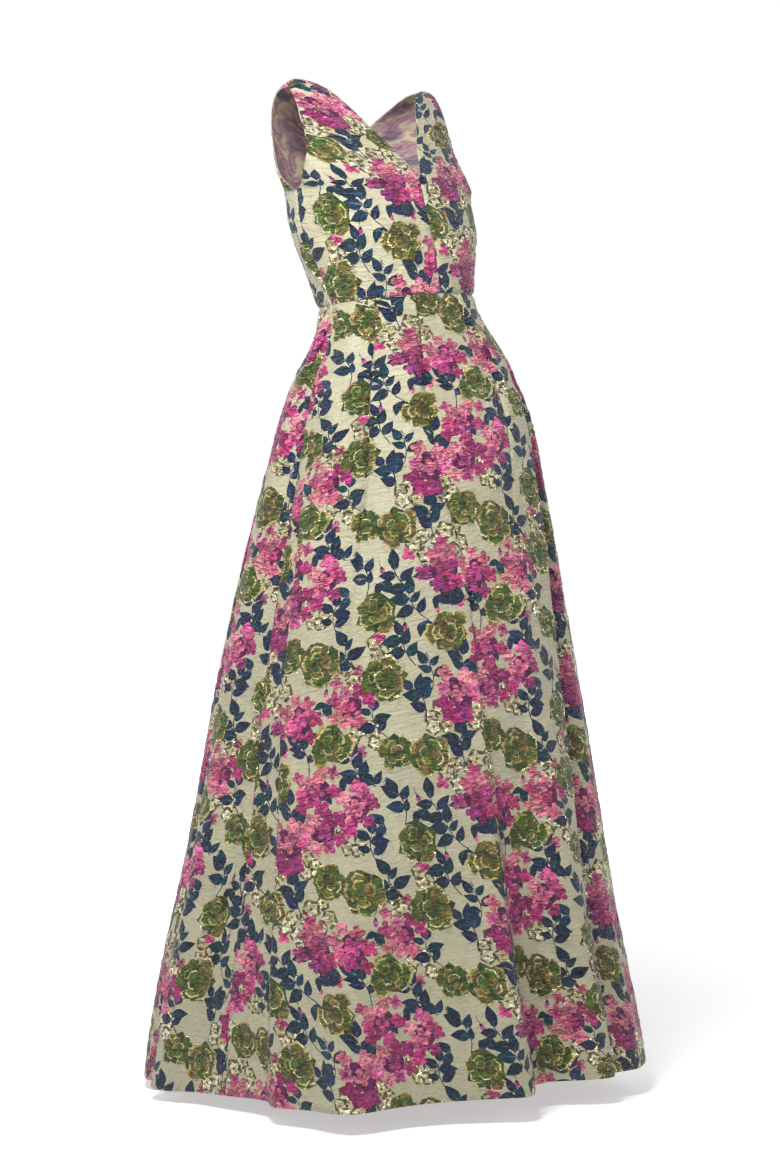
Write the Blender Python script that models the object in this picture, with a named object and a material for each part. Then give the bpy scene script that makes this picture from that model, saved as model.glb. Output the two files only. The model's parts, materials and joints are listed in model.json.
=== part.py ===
"""Ball gown: a fitted V-neck bodice on a full pleated skirt, closed by a concealed zip at the back.

Every cloth piece is a wall of one thickness. Its outer face is a grid of points worked out from tables of
sections, and its inner face is the same grid moved inwards along the cloth's own normals. Sizes are in metres
and angles in degrees. In the tables, side runs to the wearer's left, forward to the wearer's front and height
up, all from the middle of the waist seam. place() moves such a point to the part's own origin, which lies
midway between the tops of the two shoulder straps.
"""

import math
from collections import namedtuple

import bmesh
import bpy
import numpy as np
from mathutils import Matrix

CLOTH = 0.0016
HALF_GAP = 0.00015
HEM_DROP = 1.139
SHOULDER_SIDE = -0.026
SHOULDER_FORWARD = -0.049
SHOULDER_HEIGHT = 0.3205
SHARP_ANGLE = 50

# How closely the grids are set: widest and narrowest turn between the skirt's columns, the bodice's rows and
# columns, and where columns run along each edge of a fold, in shares of the edge's width
MOST_TURN = 6.5
LEAST_TURN = 0.45
FOLD_SHARES = (-0.7, 0, 0.5, 1)
BODICE_STEP = 0.021
BODICE_COLUMNS = 10

# How the torso leans back above the waist: the middle of each section, from the waist's middle
Lean = namedtuple("Lean", "height side forward")
LEAN = (
    Lean(-0.100, 0.000, 0.000),
    Lean(0.000, 0.000, 0.000),
    Lean(0.055, -0.004, -0.011),
    Lean(0.115, -0.008, -0.023),
    Lean(0.160, -0.010, -0.028),
    Lean(0.215, -0.015, -0.035),
    Lean(0.330, -0.027, -0.050),
)

# How far a level line rises for each metre to the wearer's left and to the front
Tilt = namedtuple("Tilt", "height to_left to_front")
TILT = (
    Tilt(-1.160, 0.018, 0.032),
    Tilt(-0.700, 0.025, 0.045),
    Tilt(-0.300, 0.040, 0.055),
    Tilt(0.000, 0.070, 0.070),
    Tilt(0.080, 0.035, 0.035),
    Tilt(0.158, 0.000, 0.000),
    Tilt(0.340, 0.000, 0.000),
)

# Rows of a bodice panel from waist to shoulder. The inner end lies on the centre seam or the neck edge, the
# outer end on the side seam or the armhole. Depth is measured from the torso's middle towards the panel, turn
# is the way that the surface faces, and crown lifts the middle of the shoulder strap.
Row = namedtuple("Row", "in_height in_side in_depth in_turn out_height out_side out_depth out_turn crown")
FRONT_ROWS = (
    Row(0.000, 0.0000, 0.1060, 0, 0.000, 0.1190, 0.0000, 90, 0),
    Row(0.029, 0.0000, 0.1105, 0, 0.029, 0.1260, 0.0000, 90, 0),
    Row(0.055, 0.0000, 0.1135, 0, 0.055, 0.1345, 0.0000, 90, 0),
    Row(0.085, 0.0000, 0.1150, 0, 0.085, 0.1440, 0.0000, 90, 0),
    Row(0.113, 0.0000, 0.1125, 0, 0.113, 0.1505, 0.0000, 90, 0),
    Row(0.137, 0.0000, 0.1080, 0, 0.137, 0.1515, 0.0000, 90, 0),
    Row(0.157, 0.0000, 0.1050, 0, 0.157, 0.1520, 0.0000, 90, 0),
    Row(0.179, 0.0000, 0.1030, 0, 0.165, 0.1530, 0.0150, 84, 0),
    Row(0.198, 0.0107, 0.0930, 4, 0.186, 0.1500, 0.0215, 79, 0),
    Row(0.219, 0.0215, 0.0800, 8, 0.212, 0.1415, 0.0245, 73, 0),
    Row(0.244, 0.0380, 0.0640, 15, 0.240, 0.1375, 0.0220, 71, 0),
    Row(0.269, 0.0535, 0.0495, 21, 0.268, 0.1375, 0.0180, 69, 0.001),
    Row(0.288, 0.0655, 0.0380, 26, 0.286, 0.1380, 0.0140, 66, 0.003),
    Row(0.303, 0.0760, 0.0275, 31, 0.300, 0.1385, 0.0090, 62, 0.005),
    Row(0.314, 0.0885, 0.0145, 38, 0.308, 0.1390, 0.0045, 60, 0.007),
    Row(0.3205, 0.1020, 0.0000, 45, 0.311, 0.1400, 0.0000, 60, 0.008),
)
BACK_ROWS = (
    Row(0.000, 0.0000, 0.1010, 0, 0.000, 0.1190, 0.0000, 90, 0),
    Row(0.029, 0.0000, 0.1020, 0, 0.029, 0.1260, 0.0000, 90, 0),
    Row(0.055, 0.0000, 0.1030, 0, 0.055, 0.1345, 0.0000, 90, 0),
    Row(0.085, 0.0000, 0.1040, 0, 0.085, 0.1440, 0.0000, 90, 0),
    Row(0.113, 0.0000, 0.1050, 0, 0.113, 0.1505, 0.0000, 90, 0),
    Row(0.137, 0.0000, 0.1060, 0, 0.137, 0.1515, 0.0000, 90, 0),
    Row(0.157, 0.0000, 0.1065, 0, 0.157, 0.1520, 0.0000, 90, 0),
    Row(0.186, 0.0000, 0.1065, 0, 0.167, 0.1510, 0.0200, 82, 0),
    Row(0.210, 0.0000, 0.1055, 0, 0.186, 0.1490, 0.0400, 73, 0),
    Row(0.232, 0.0000, 0.1030, 0, 0.212, 0.1435, 0.0520, 67, 0),
    Row(0.241, 0.0220, 0.0985, 9, 0.238, 0.1410, 0.0545, 64, 0),
    Row(0.255, 0.0450, 0.0900, 18, 0.262, 0.1400, 0.0520, 63, 0),
    Row(0.273, 0.0645, 0.0770, 26, 0.282, 0.1395, 0.0450, 62, 0.002),
    Row(0.291, 0.0800, 0.0590, 33, 0.296, 0.1395, 0.0350, 60, 0.004),
    Row(0.308, 0.0930, 0.0360, 40, 0.306, 0.1397, 0.0205, 60, 0.006),
    Row(0.3205, 0.1020, 0.0000, 45, 0.311, 0.1400, 0.0000, 60, 0.008),
)
# Rows where an edge turns a corner: the underarm, and the foot of the V or the back neck
FRONT_CORNERS = (0, 6, 7, 15)
BACK_CORNERS = (0, 6, 9, 15)

# Soft fullness of the bust over the front rows
BUST_FULLNESS = 0.008
BUST_SIDE = 0.076
BUST_HEIGHT = 0.105
BUST_SPREAD = 0.048

# Rings of the skirt before its folds, by how far they lie below the waist
Ring = namedtuple("Ring", "drop half_width front back side forward")
RINGS = (
    Ring(0.000, 0.119, 0.106, 0.101, 0.000, 0.000),
    Ring(0.022, 0.123, 0.111, 0.105, 0.001, 0.001),
    Ring(0.045, 0.132, 0.119, 0.113, 0.003, 0.002),
    Ring(0.068, 0.145, 0.131, 0.124, 0.004, 0.003),
    Ring(0.092, 0.160, 0.147, 0.139, 0.004, 0.003),
    Ring(0.122, 0.173, 0.161, 0.151, 0.004, 0.003),
    Ring(0.150, 0.183, 0.172, 0.162, 0.005, 0.003),
    Ring(0.180, 0.193, 0.184, 0.173, 0.006, 0.004),
    Ring(0.215, 0.201, 0.194, 0.184, 0.006, 0.005),
    Ring(0.255, 0.209, 0.204, 0.195, 0.005, 0.004),
    Ring(0.300, 0.218, 0.215, 0.207, 0.004, 0.003),
    Ring(0.360, 0.230, 0.229, 0.223, 0.003, 0.002),
    Ring(0.440, 0.245, 0.245, 0.240, 0.001, 0.001),
    Ring(0.520, 0.260, 0.260, 0.257, 0.000, 0.000),
    Ring(0.630, 0.279, 0.279, 0.277, 0.000, 0.000),
    Ring(0.730, 0.295, 0.295, 0.294, 0.000, 0.000),
    Ring(0.850, 0.315, 0.315, 0.315, -0.003, 0.000),
    Ring(0.970, 0.338, 0.338, 0.338, -0.004, -0.002),
    Ring(1.050, 0.353, 0.353, 0.353, -0.003, -0.001),
    Ring(1.139, 0.366, 0.366, 0.366, -0.001, -0.001),
)

# Recesses between the raised pleats. Angles go from centre front towards the wearer's right. The cloth falls
# in at the near edge, over its width, and comes out again at the far edge, over the far width. Each column
# has one value for every drop in FOLD_DROPS, and depth is in millimetres.
FOLD_DROPS = (0.00, 0.02, 0.12, 0.24, 0.40, 0.60, 0.85, 1.14)
Recess = namedtuple("Recess", "name near near_width far far_width depth")
RECESSES = (
    Recess(
        "centre_front",
        near=(21, 21.5, 26, 25, 16, 13, 10, 8),
        near_width=(2, 2, 2.5, 4, 4, 5, 9, 18),
        far=(-21, -21.5, -23, -18, -11, -11, -17, -28),
        far_width=(3, 3, 4, 8, 8, 8, 10, 13),
        depth=(0.4, 3.5, 5.5, 3, 7, 16, 42, 90),
    ),
    Recess(
        "front_right",
        near=(48.5, 48.5, 49, 49, 50, 52, 54, 54),
        near_width=(2, 2, 2, 2, 3, 3, 3, 3),
        far=(69, 69, 68, 66, 64, 62, 61, 60),
        far_width=(12, 12, 12, 9, 7, 5, 3, 2),
        depth=(0.4, 3.5, 7, 6, 3.5, 0, 0, 0),
    ),
    Recess(
        "side_right",
        near=(81, 81, 80, 78.5, 76, 74, 70, 65),
        near_width=(3, 3, 3, 3, 3, 4, 5, 9),
        far=(99, 99, 101, 103, 105, 107, 109, 112),
        far_width=(3, 3, 6, 9, 12, 13, 13, 12),
        depth=(0.4, 3.5, 12, 18, 22, 26, 32, 40),
    ),
    Recess(
        "back_right",
        near=(131, 131, 130, 129, 128, 127, 127, 128),
        near_width=(3, 3, 3, 3, 4, 5, 7, 9),
        far=(113, 113, 113, 112, 112, 111, 112, 114),
        far_width=(8, 8, 8, 8, 8, 7, 6, 4),
        depth=(0.4, 3.5, 8, 10, 12, 14, 20, 30),
    ),
    Recess(
        "centre_back",
        near=(159, 159, 160, 161, 161, 160, 158, 156),
        near_width=(3, 3, 3, 4, 5, 6, 7, 9),
        far=(201, 201, 200, 198, 199, 201, 203, 206),
        far_width=(3, 3, 4, 5, 6, 8, 9, 10),
        depth=(0.4, 3.5, 7, 9, 12, 16, 22, 34),
    ),
    Recess(
        "back_left",
        near=(229, 229, 228, 227, 226, 225, 224, 222),
        near_width=(3, 3, 3, 3, 4, 5, 6, 8),
        far=(246, 246, 246, 247, 248, 249, 250, 251),
        far_width=(8, 8, 8, 9, 10, 11, 12, 13),
        depth=(0.4, 3.5, 9, 13, 16, 18, 24, 36),
    ),
    Recess(
        "side_left",
        near=(279, 279, 280, 281, 283, 285, 287, 290),
        near_width=(3, 3, 3, 3, 3, 4, 5, 7),
        far=(261, 261, 260, 259, 258, 258, 258, 258),
        far_width=(3, 3, 5, 7, 9, 10, 11, 11),
        depth=(0.4, 3.5, 9, 13, 15, 18, 22, 30),
    ),
    Recess(
        "front_left",
        near=(311, 312, 322, 327, 331, 334, 334, 331),
        near_width=(3, 3, 3, 3, 3, 3, 3, 3),
        far=(293, 294, 306, 312, 316, 319, 318, 316),
        far_width=(8, 8, 10, 11, 11, 11, 11, 10),
        depth=(0.4, 4, 20, 28, 30, 28, 26, 30),
    ),
)

# Broad swells of the lower skirt, by the same drops and angles, in millimetres outwards
Swell = namedtuple("Swell", "name turn spread rise")
SWELLS = (
    Swell("front_lobe", 47, 8, (0, 0, 0, 0, 0, 0, 12, 46)),
    Swell("front_flat", 24, 19, (0, 0, 0, 0, 0, -4, -16, -38)),
    Swell("side_hollow", 84, 17, (0, 0, 0, 0, 0, -3, -10, -22)),
    Swell("left_hollow", 333, 6, (0, 0, 0, 0, 0, -3, -10, -20)),
    Swell("left_lobe", 302, 12, (0, 0, 0, 0, 0, 1, 3, 6)),
    Swell("back_lobe_right", 142, 11, (0, 0, 0, 0, 0, 3, 8, 16)),
    Swell("back_lobe_left", 214, 9, (0, 0, 0, 0, 0, 2, 8, 18)),
    Swell("side_lobe_left", 256, 9, (0, 0, 0, 0, 0, 2, 6, 12)),
)
SKIRT_DROPS = (
    0, 0.010, 0.024, 0.042, 0.064, 0.092, 0.124, 0.160, 0.202, 0.250,
    0.306, 0.370, 0.445, 0.530, 0.625, 0.730, 0.845, 0.950, 1.050, HEM_DROP,
)

# The zip: a tape behind the back seam, a slider over the neck edge and a pull tab that hangs from it
TAPE_HALF_WIDTH = 0.011
TAPE_THICKNESS = 0.0012
TAPE_CLEARANCE = 0.0009
TAPE_TOP = 0.221
TAPE_FOOT = 0.185
TAPE_COLUMNS = 5
TAPE_ROWS_ABOVE = 13
TAPE_ROWS_BELOW = 12
TAPE_WAIST = (-0.012, -0.004)
NECK_BACK_HEIGHT = 0.232
NECK_BACK_DEPTH = 0.103
SLIDER_WIDTH = 0.0066
SLIDER_WALL = 0.0014
SLIDER_CLEARANCE = 0.0006
ROOF_CLEARANCE = 0.0020
SLIDER_INNER_LENGTH = 0.0085
SLIDER_OUTER_LENGTH = 0.0070
PIN_RADIUS = 0.0006
PIN_SIDES = 20
PIN_BELOW_TOP = 0.0020
PIN_OUT = 0.0046
EAR_WIDTH = 0.0011
EAR_INSET = 0.00005
EAR_REACH = 0.00132
EYE_RADIUS = 0.0010
EYE_OUTER_RADIUS = 0.0020
PULL_EYE_WIDTH = 0.0032
PULL_THICKNESS = 0.0010
# Right half of the pull tab from its eye to its foot, below the pin
TabPoint = namedtuple("TabPoint", "side below")
PULL_TAB = (
    TabPoint(0.0016, 0.00135),
    TabPoint(0.0016, 0.0045),
    TabPoint(0.0031, 0.0145),
    TabPoint(0.0031, 0.0198),
    TabPoint(0.0019, 0.0216),
    TabPoint(0.0000, 0.0220),
)

CLOTH_COLOUR = (0.62, 0.60, 0.44, 1.0)
METAL_COLOUR = (0.70, 0.64, 0.50, 1.0)
TAPE_COLOUR = (0.52, 0.51, 0.38, 1.0)


def smooth(at, knots, values):
    """Values of the smooth curve that passes through values at knots, read at the places in at."""
    at = np.asarray(at, float)
    knots = np.asarray(knots, float)
    values = np.asarray(values, float)
    slopes = np.gradient(values, knots, axis=0)
    start = np.clip(np.searchsorted(knots, at) - 1, 0, len(knots) - 2)
    span = knots[start + 1] - knots[start]
    share = (at - knots[start]) / span
    if values.ndim > 1:
        share = share[..., None]
        span = span[..., None]
    left = 1 - share
    from_start = (1 + 2 * share) * left**2 * values[start] + share * left**2 * span * slopes[start]
    from_end = share**2 * (3 - 2 * share) * values[start + 1] - share**2 * left * span * slopes[start + 1]
    return from_start + from_end


def ease(share):
    """0 before 0 and 1 after 1, with a smooth climb between."""
    share = np.clip(share, 0, 1)
    return share * share * (3 - 2 * share)


def place(side, forward, height):
    """Points in the part's own frame, from places measured at the middle of the waist seam."""
    heights = [row.height for row in TILT]
    to_left = smooth(height, heights, [row.to_left for row in TILT])
    to_front = smooth(height, heights, [row.to_front for row in TILT])
    up = height + to_left * side + to_front * forward
    return np.stack([side - SHOULDER_SIDE, SHOULDER_FORWARD - forward, up - SHOULDER_HEIGHT], axis=-1)


def unit(vectors):
    return vectors / np.linalg.norm(vectors, axis=-1, keepdims=True)


def normals_of(grid):
    """Unit normals of a grid of points. Its rows climb and its columns run so that they face outwards."""
    along = np.gradient(grid, axis=1)
    up = np.gradient(grid, axis=0)
    return unit(np.cross(up, along))


def make_material(name, colour, roughness, metallic):
    material = bpy.data.materials.new(name)
    material.use_nodes = True
    shader = material.node_tree.nodes["Principled BSDF"]
    shader.inputs["Base Color"].default_value = colour
    shader.inputs["Roughness"].default_value = roughness
    shader.inputs["Metallic"].default_value = metallic
    return material


def add_object(name, mesh_maker, material):
    """A new object whose mesh is what mesh_maker leaves in an empty bmesh, shaded smooth between sharp edges."""
    bm = bmesh.new()
    mesh_maker(bm)
    mesh = bpy.data.meshes.new(name)
    bm.to_mesh(mesh)
    bm.free()
    mesh.materials.append(material)
    mesh.shade_smooth()
    mesh.set_sharp_from_angle(angle=math.radians(SHARP_ANGLE))
    piece = bpy.data.objects.new(name, mesh)
    bpy.context.scene.collection.objects.link(piece)
    return piece


def add_wall(name, outer, inner, material):
    """A closed wall between two grids of points. Seen from outside, columns run to the left and rows climb."""

    def skin(bm, grid):
        verts = [[bm.verts.new(point) for point in row] for row in grid]
        for low, high in zip(verts, verts[1:]):
            for a, b, c, d in zip(low, low[1:], high[1:], high):
                bm.faces.new((a, b, c, d))
        return verts

    def rim(verts):
        """The skin's edge vertices in order, once round."""
        right = [row[-1] for row in verts[1:]]
        left = [row[0] for row in verts[-2:0:-1]]
        return verts[0] + right + verts[-1][-2::-1] + left

    def fill(bm):
        outside = rim(skin(bm, outer))
        inside = rim(skin(bm, inner))
        count = len(outside)
        for i in range(count):
            j = (i + 1) % count
            bm.faces.new((outside[i], inside[i], inside[j], outside[j]))
        bmesh.ops.recalc_face_normals(bm, faces=bm.faces)

    return add_object(name, fill, material)


def panel_rows(rows, corners):
    """The table's rows with smooth ones between them, every BODICE_STEP or so up the panel's middle."""
    table = np.array(rows, float)
    middle = (table[:, 0:3] + table[:, 4:7]) / 2
    run = np.concatenate([[0], np.cumsum(np.linalg.norm(np.diff(middle, axis=0), axis=1))])
    pieces = []
    for first, last in zip(corners, corners[1:]):
        stretch = slice(first, last + 1)
        for i in range(first, last):
            count = math.ceil((run[i + 1] - run[i]) / BODICE_STEP)
            at = np.linspace(run[i], run[i + 1], count, endpoint=False)
            pieces.append(smooth(at, run[stretch], table[stretch]))
    return np.concatenate(pieces + [table[-1:]])


def bust(side, height, turn):
    """How far the bust stands out beyond the front rows."""
    across = (side - BUST_SIDE) / BUST_SPREAD
    along = (height - BUST_HEIGHT) / BUST_SPREAD
    return BUST_FULLNESS * np.exp(-(across**2) - along**2) * np.cos(turn)


def bodice_panel(rows, corners, is_front):
    """Grids of a panel's outer and inner points as (side, depth, height), for the wearer's left."""
    table = panel_rows(rows, corners)
    in_height, in_side, in_depth, in_turn, out_height, out_side, out_depth, out_turn, crown = (
        table.T[..., None]
    )
    share = np.linspace(0, 1, BODICE_COLUMNS)
    turn = np.radians(in_turn + (out_turn - in_turn) * share)
    first = np.radians(in_turn)
    last = np.radians(out_turn)
    across = (np.sin(turn) - np.sin(first)) / (np.sin(last) - np.sin(first))
    back = (np.cos(first) - np.cos(turn)) / (np.cos(first) - np.cos(last))
    side = in_side + (out_side - in_side) * across
    depth = in_depth + (out_depth - in_depth) * back
    height = in_height + (out_height - in_height) * share + crown * 4 * share * (1 - share)
    if is_front:
        depth = depth + bust(side, height, turn)
    grid = np.stack([side, depth, height], axis=-1)
    normals = normals_of(grid)
    on_centre = np.abs(grid[:, 0, 0]) < HALF_GAP
    on_side = np.abs(grid[:, -1, 1]) < HALF_GAP
    on_side[-1] = False
    normals[on_centre, 0, 0] = 0
    normals[on_side, -1, 1] = 0
    normals[0, :, 2] = 0
    normals[-1, :, 1] = 0
    grid[on_centre, 0, 0] = HALF_GAP
    grid[on_side, -1, 1] = HALF_GAP
    grid[0, :, 2] = HALF_GAP
    grid[-1, :, 1] = HALF_GAP
    return grid, grid - CLOTH * unit(normals)


def lean_back(grid, hand, facing):
    """Moves a panel's own points to the leaning torso. hand is 1 for the wearer's left, facing is 1 for the front."""
    heights = [row.height for row in LEAN]
    side = hand * grid[..., 0] + smooth(grid[..., 2], heights, [row.side for row in LEAN])
    forward = facing * grid[..., 1] + smooth(grid[..., 2], heights, [row.forward for row in LEAN])
    return place(side, forward, grid[..., 2])


def add_bodice(material):
    panels = {
        "bodice_front": (FRONT_ROWS, FRONT_CORNERS, 1),
        "bodice_back": (BACK_ROWS, BACK_CORNERS, -1),
    }
    for name, (rows, corners, facing) in panels.items():
        outer, inner = bodice_panel(rows, corners, facing > 0)
        for end, hand in (("left", 1), ("right", -1)):
            add_wall(
                f"{name}_{end}",
                lean_back(outer, hand, facing),
                lean_back(inner, hand, facing),
                material,
            )


def of_fold(column, drop):
    return smooth(drop, FOLD_DROPS, column)


def recess_depth(recess, turn, drop):
    """How far a recess takes the cloth inwards, for angles near it."""
    near = of_fold(recess.near, drop)
    far = of_fold(recess.far, drop)
    way = 1 if recess.far[0] > recess.near[0] else -1
    fall = ease(way * (turn - near) / of_fold(recess.near_width, drop))
    climb = ease(1 - way * (far - turn) / of_fold(recess.far_width, drop))
    return np.clip(of_fold(recess.depth, drop), 0, None) / 1000 * (fall - climb)


def nearest_turn(turn, middle):
    """The same direction as turn, within half a circle of middle."""
    return middle + (turn - middle + 180) % 360 - 180


def skirt_point(turn, drop):
    """Outer points of the skirt as (side, forward, height), for arrays of angles and drops of one shape."""
    out = np.zeros_like(turn)
    for recess in RECESSES:
        middle = (recess.near[0] + recess.far[0]) / 2
        out -= recess_depth(recess, nearest_turn(turn, middle), drop)
    for swell in SWELLS:
        away = (nearest_turn(turn, swell.turn) - swell.turn) / swell.spread
        out += of_fold(swell.rise, drop) / 1000 * np.exp(-(away**2))
    drops = [ring.drop for ring in RINGS]
    half_width, front, back, side, forward = (
        smooth(drop, drops, [getattr(ring, column) for ring in RINGS])
        for column in ("half_width", "front", "back", "side", "forward")
    )
    ahead = np.cos(np.radians(turn))
    depth = np.where(ahead > 0, front, back)
    return np.stack(
        [side - (half_width + out) * np.sin(np.radians(turn)), forward + (depth + out) * ahead, -drop],
        axis=-1,
    )


def key_turns(drop, start, end):
    """The angles that a panel's columns must keep at each drop: its seams and the edges of its folds."""
    keys = []
    for recess in RECESSES:
        for turn_of, width_of, outwards in (
            (recess.near, recess.near_width, 1),
            (recess.far, recess.far_width, -1),
        ):
            edge = of_fold(turn_of, drop)
            width = of_fold(width_of, drop)
            way = outwards if recess.far[0] > recess.near[0] else -outwards
            for share in FOLD_SHARES:
                keys.append(edge + way * share * width)
    keys = np.array(keys)
    mean = keys.mean(axis=1)
    keys = keys + (nearest_turn(mean, (start + end) / 2) - mean)[:, None]
    inside = (keys.mean(axis=1) > start) & (keys.mean(axis=1) < end)
    keys = keys[inside]
    return keys[np.argsort(keys[:, 0])].T


def column_turns(drop, start, end):
    """Angles of every column at every drop, in order and never closer than LEAST_TURN."""
    keys = key_turns(drop, start, end)
    count = keys.shape[1]
    keys = np.maximum.accumulate(keys - LEAST_TURN * np.arange(count), axis=1)
    keys = keys + LEAST_TURN * np.arange(count)
    lowest = start + LEAST_TURN * (1 + np.arange(count))
    highest = end - LEAST_TURN * (count - np.arange(count))
    keys = np.clip(keys, lowest, highest)
    ends = np.ones((len(drop), 1))
    keys = np.concatenate([start * ends, keys, end * ends], axis=1)
    columns = []
    for i in range(keys.shape[1] - 1):
        gaps = keys[:, i + 1] - keys[:, i]
        parts = max(1, math.ceil(gaps.max() / MOST_TURN))
        for part in range(parts):
            columns.append(keys[:, i] + gaps * part / parts)
    columns.append(keys[:, -1])
    return np.stack(columns, axis=1)


def skirt_panel(start, end):
    """Grids of a skirt panel's outer and inner points as (side, forward, height), from hem to waist."""
    drop = np.array(SKIRT_DROPS, float)[::-1]
    turn = column_turns(drop, start, end)
    drop = np.repeat(drop[:, None], turn.shape[1], axis=1)
    grid = skirt_point(turn, drop)
    normals = -normals_of(grid)
    normals[0, :, 2] = 0
    normals[-1, :, 2] = 0
    grid[-1, :, 2] = -HALF_GAP
    for column, angle in ((0, start), (-1, end)):
        across = 0 if angle % 180 == 0 else 1
        normals[:, column, across] = 0
        inwards = 1 if column == 0 else -1
        radians = math.radians(angle)
        tangent = (-math.cos(radians), -math.sin(radians))[across]
        grid[:, column, across] += inwards * HALF_GAP * tangent
    return grid, grid - CLOTH * unit(normals)


def add_skirt(material):
    for name, start, end in (
        ("skirt_front", -90, 90),
        ("skirt_back_right", 90, 180),
        ("skirt_back_left", 180, 270),
    ):
        outer, inner = skirt_panel(start, end)
        add_wall(name, place(*np.moveaxis(outer, -1, 0)), place(*np.moveaxis(inner, -1, 0)), material)


def back_line(height):
    """How far behind the waist's middle the outer cloth lies at centre back, and the sideways shift there."""
    heights = [row.height for row in LEAN]
    rows = [row for row in BACK_ROWS if row.in_side == 0]
    above = smooth(height, [row.in_height for row in rows], [row.in_depth for row in rows])
    above = above - smooth(height, heights, [row.forward for row in LEAN])
    shift = smooth(height, heights, [row.side for row in LEAN])
    turn = np.full_like(height, 180.0)
    below = skirt_point(turn, np.clip(-height, 0, None))
    is_bodice = height >= 0
    return np.where(is_bodice, above, -below[..., 1]), np.where(is_bodice, shift, below[..., 0])


def add_zip_tape(material):
    """One closed strip behind the centre-back seam, on the inner side of the cloth."""
    height = np.concatenate([
        np.linspace(-TAPE_FOOT, TAPE_WAIST[0], TAPE_ROWS_BELOW),
        np.linspace(TAPE_WAIST[1], TAPE_TOP, TAPE_ROWS_ABOVE),
    ])
    depth, shift = back_line(height)
    slope = np.gradient(depth, height)
    lean_out = np.sqrt(1 + slope**2)
    across = np.linspace(1, -1, TAPE_COLUMNS) * TAPE_HALF_WIDTH
    sag = across**2 / (2 * NECK_BACK_DEPTH)
    walls = []
    for away in (CLOTH + TAPE_CLEARANCE, CLOTH + TAPE_CLEARANCE + TAPE_THICKNESS):
        behind = (depth - away * lean_out)[:, None] - sag[None, :]
        side = shift[:, None] + across[None, :]
        walls.append(place(side, -behind, np.repeat(height[:, None], len(across), axis=1)))
    add_wall("zip_tape", walls[0], walls[1], material)


def extrude(bm, near, far):
    """A closed solid between two outlines of the same number of points."""
    near = [bm.verts.new(point) for point in near]
    far = [bm.verts.new(point) for point in far]
    bm.faces.new(near)
    bm.faces.new(far)
    count = len(near)
    for i in range(count):
        j = (i + 1) % count
        bm.faces.new((near[j], near[i], far[i], far[j]))
    bmesh.ops.recalc_face_normals(bm, faces=bm.faces)


def cut_from_side(bm, outline, width):
    """A solid with the outline given as (forward, up) points."""
    half = width / 2
    near = [(-half, -forward, up) for forward, up in outline]
    far = [(half, -forward, up) for forward, up in outline]
    extrude(bm, near, far)


def cut_from_back(bm, outline, thickness):
    """A solid with the outline given as (side, up) points."""
    half = thickness / 2
    near = [(side, -half, up) for side, up in outline]
    far = [(side, half, up) for side, up in outline]
    extrude(bm, near, far)


def round_bar(bm, radius, width):
    bmesh.ops.create_cone(
        bm,
        cap_ends=True,
        segments=PIN_SIDES,
        radius1=radius,
        radius2=radius,
        depth=width,
        matrix=Matrix.Rotation(math.radians(90), 4, "Y"),
    )


def boolean(piece, other, operation):
    """Joins or cuts piece with other, which is left out of the model."""
    other.hide_render = True
    other.display_type = "WIRE"
    modifier = piece.modifiers.new(other.name, "BOOLEAN")
    modifier.object = other
    modifier.operation = operation
    modifier.solver = "EXACT"


def slider_places():
    """Where the neck edge lies at centre back, and where the slider's pin lies outside it."""
    depth, shift = back_line(np.array([NECK_BACK_HEIGHT]))
    edge = place(shift[0], -depth[0], NECK_BACK_HEIGHT)
    return edge, edge + np.array([0, PIN_OUT, -PIN_BELOW_TOP])


def add_zip_slider(material):
    """A saddle over the neck edge at centre back, with two ears and a pin."""
    edge, pin_place = slider_places()
    outer_face = -SLIDER_CLEARANCE
    inner_face = CLOTH + SLIDER_CLEARANCE
    outline = [
        (outer_face - SLIDER_WALL, -SLIDER_OUTER_LENGTH),
        (outer_face, -SLIDER_OUTER_LENGTH),
        (outer_face, ROOF_CLEARANCE),
        (inner_face, ROOF_CLEARANCE),
        (inner_face, -SLIDER_INNER_LENGTH),
        (inner_face + SLIDER_WALL, -SLIDER_INNER_LENGTH),
        (inner_face + SLIDER_WALL, ROOF_CLEARANCE + SLIDER_WALL),
        (outer_face - SLIDER_WALL, ROOF_CLEARANCE + SLIDER_WALL),
    ]
    slider = add_object("zip_slider", lambda bm: cut_from_side(bm, outline, SLIDER_WIDTH), material)
    slider.location = edge
    ear_back = PIN_OUT + outer_face - SLIDER_WALL / 2
    ear_outline = [
        (ear_back, -EAR_REACH),
        (ear_back, EAR_REACH),
        (0, EAR_REACH),
        (-EAR_REACH, 0),
        (0, -EAR_REACH),
    ]
    ear_middle = SLIDER_WIDTH / 2 - EAR_WIDTH / 2 - EAR_INSET
    for end, side in (("left", ear_middle), ("right", -ear_middle)):
        ear = add_object(f"slider_ear_{end}", lambda bm: cut_from_side(bm, ear_outline, EAR_WIDTH), material)
        ear.location = pin_place + np.array([side, 0, 0])
        boolean(slider, ear, "UNION")
    pin = add_object("slider_pin", lambda bm: round_bar(bm, PIN_RADIUS, SLIDER_WIDTH - EAR_WIDTH), material)
    pin.location = pin_place
    boolean(slider, pin, "UNION")


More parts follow.
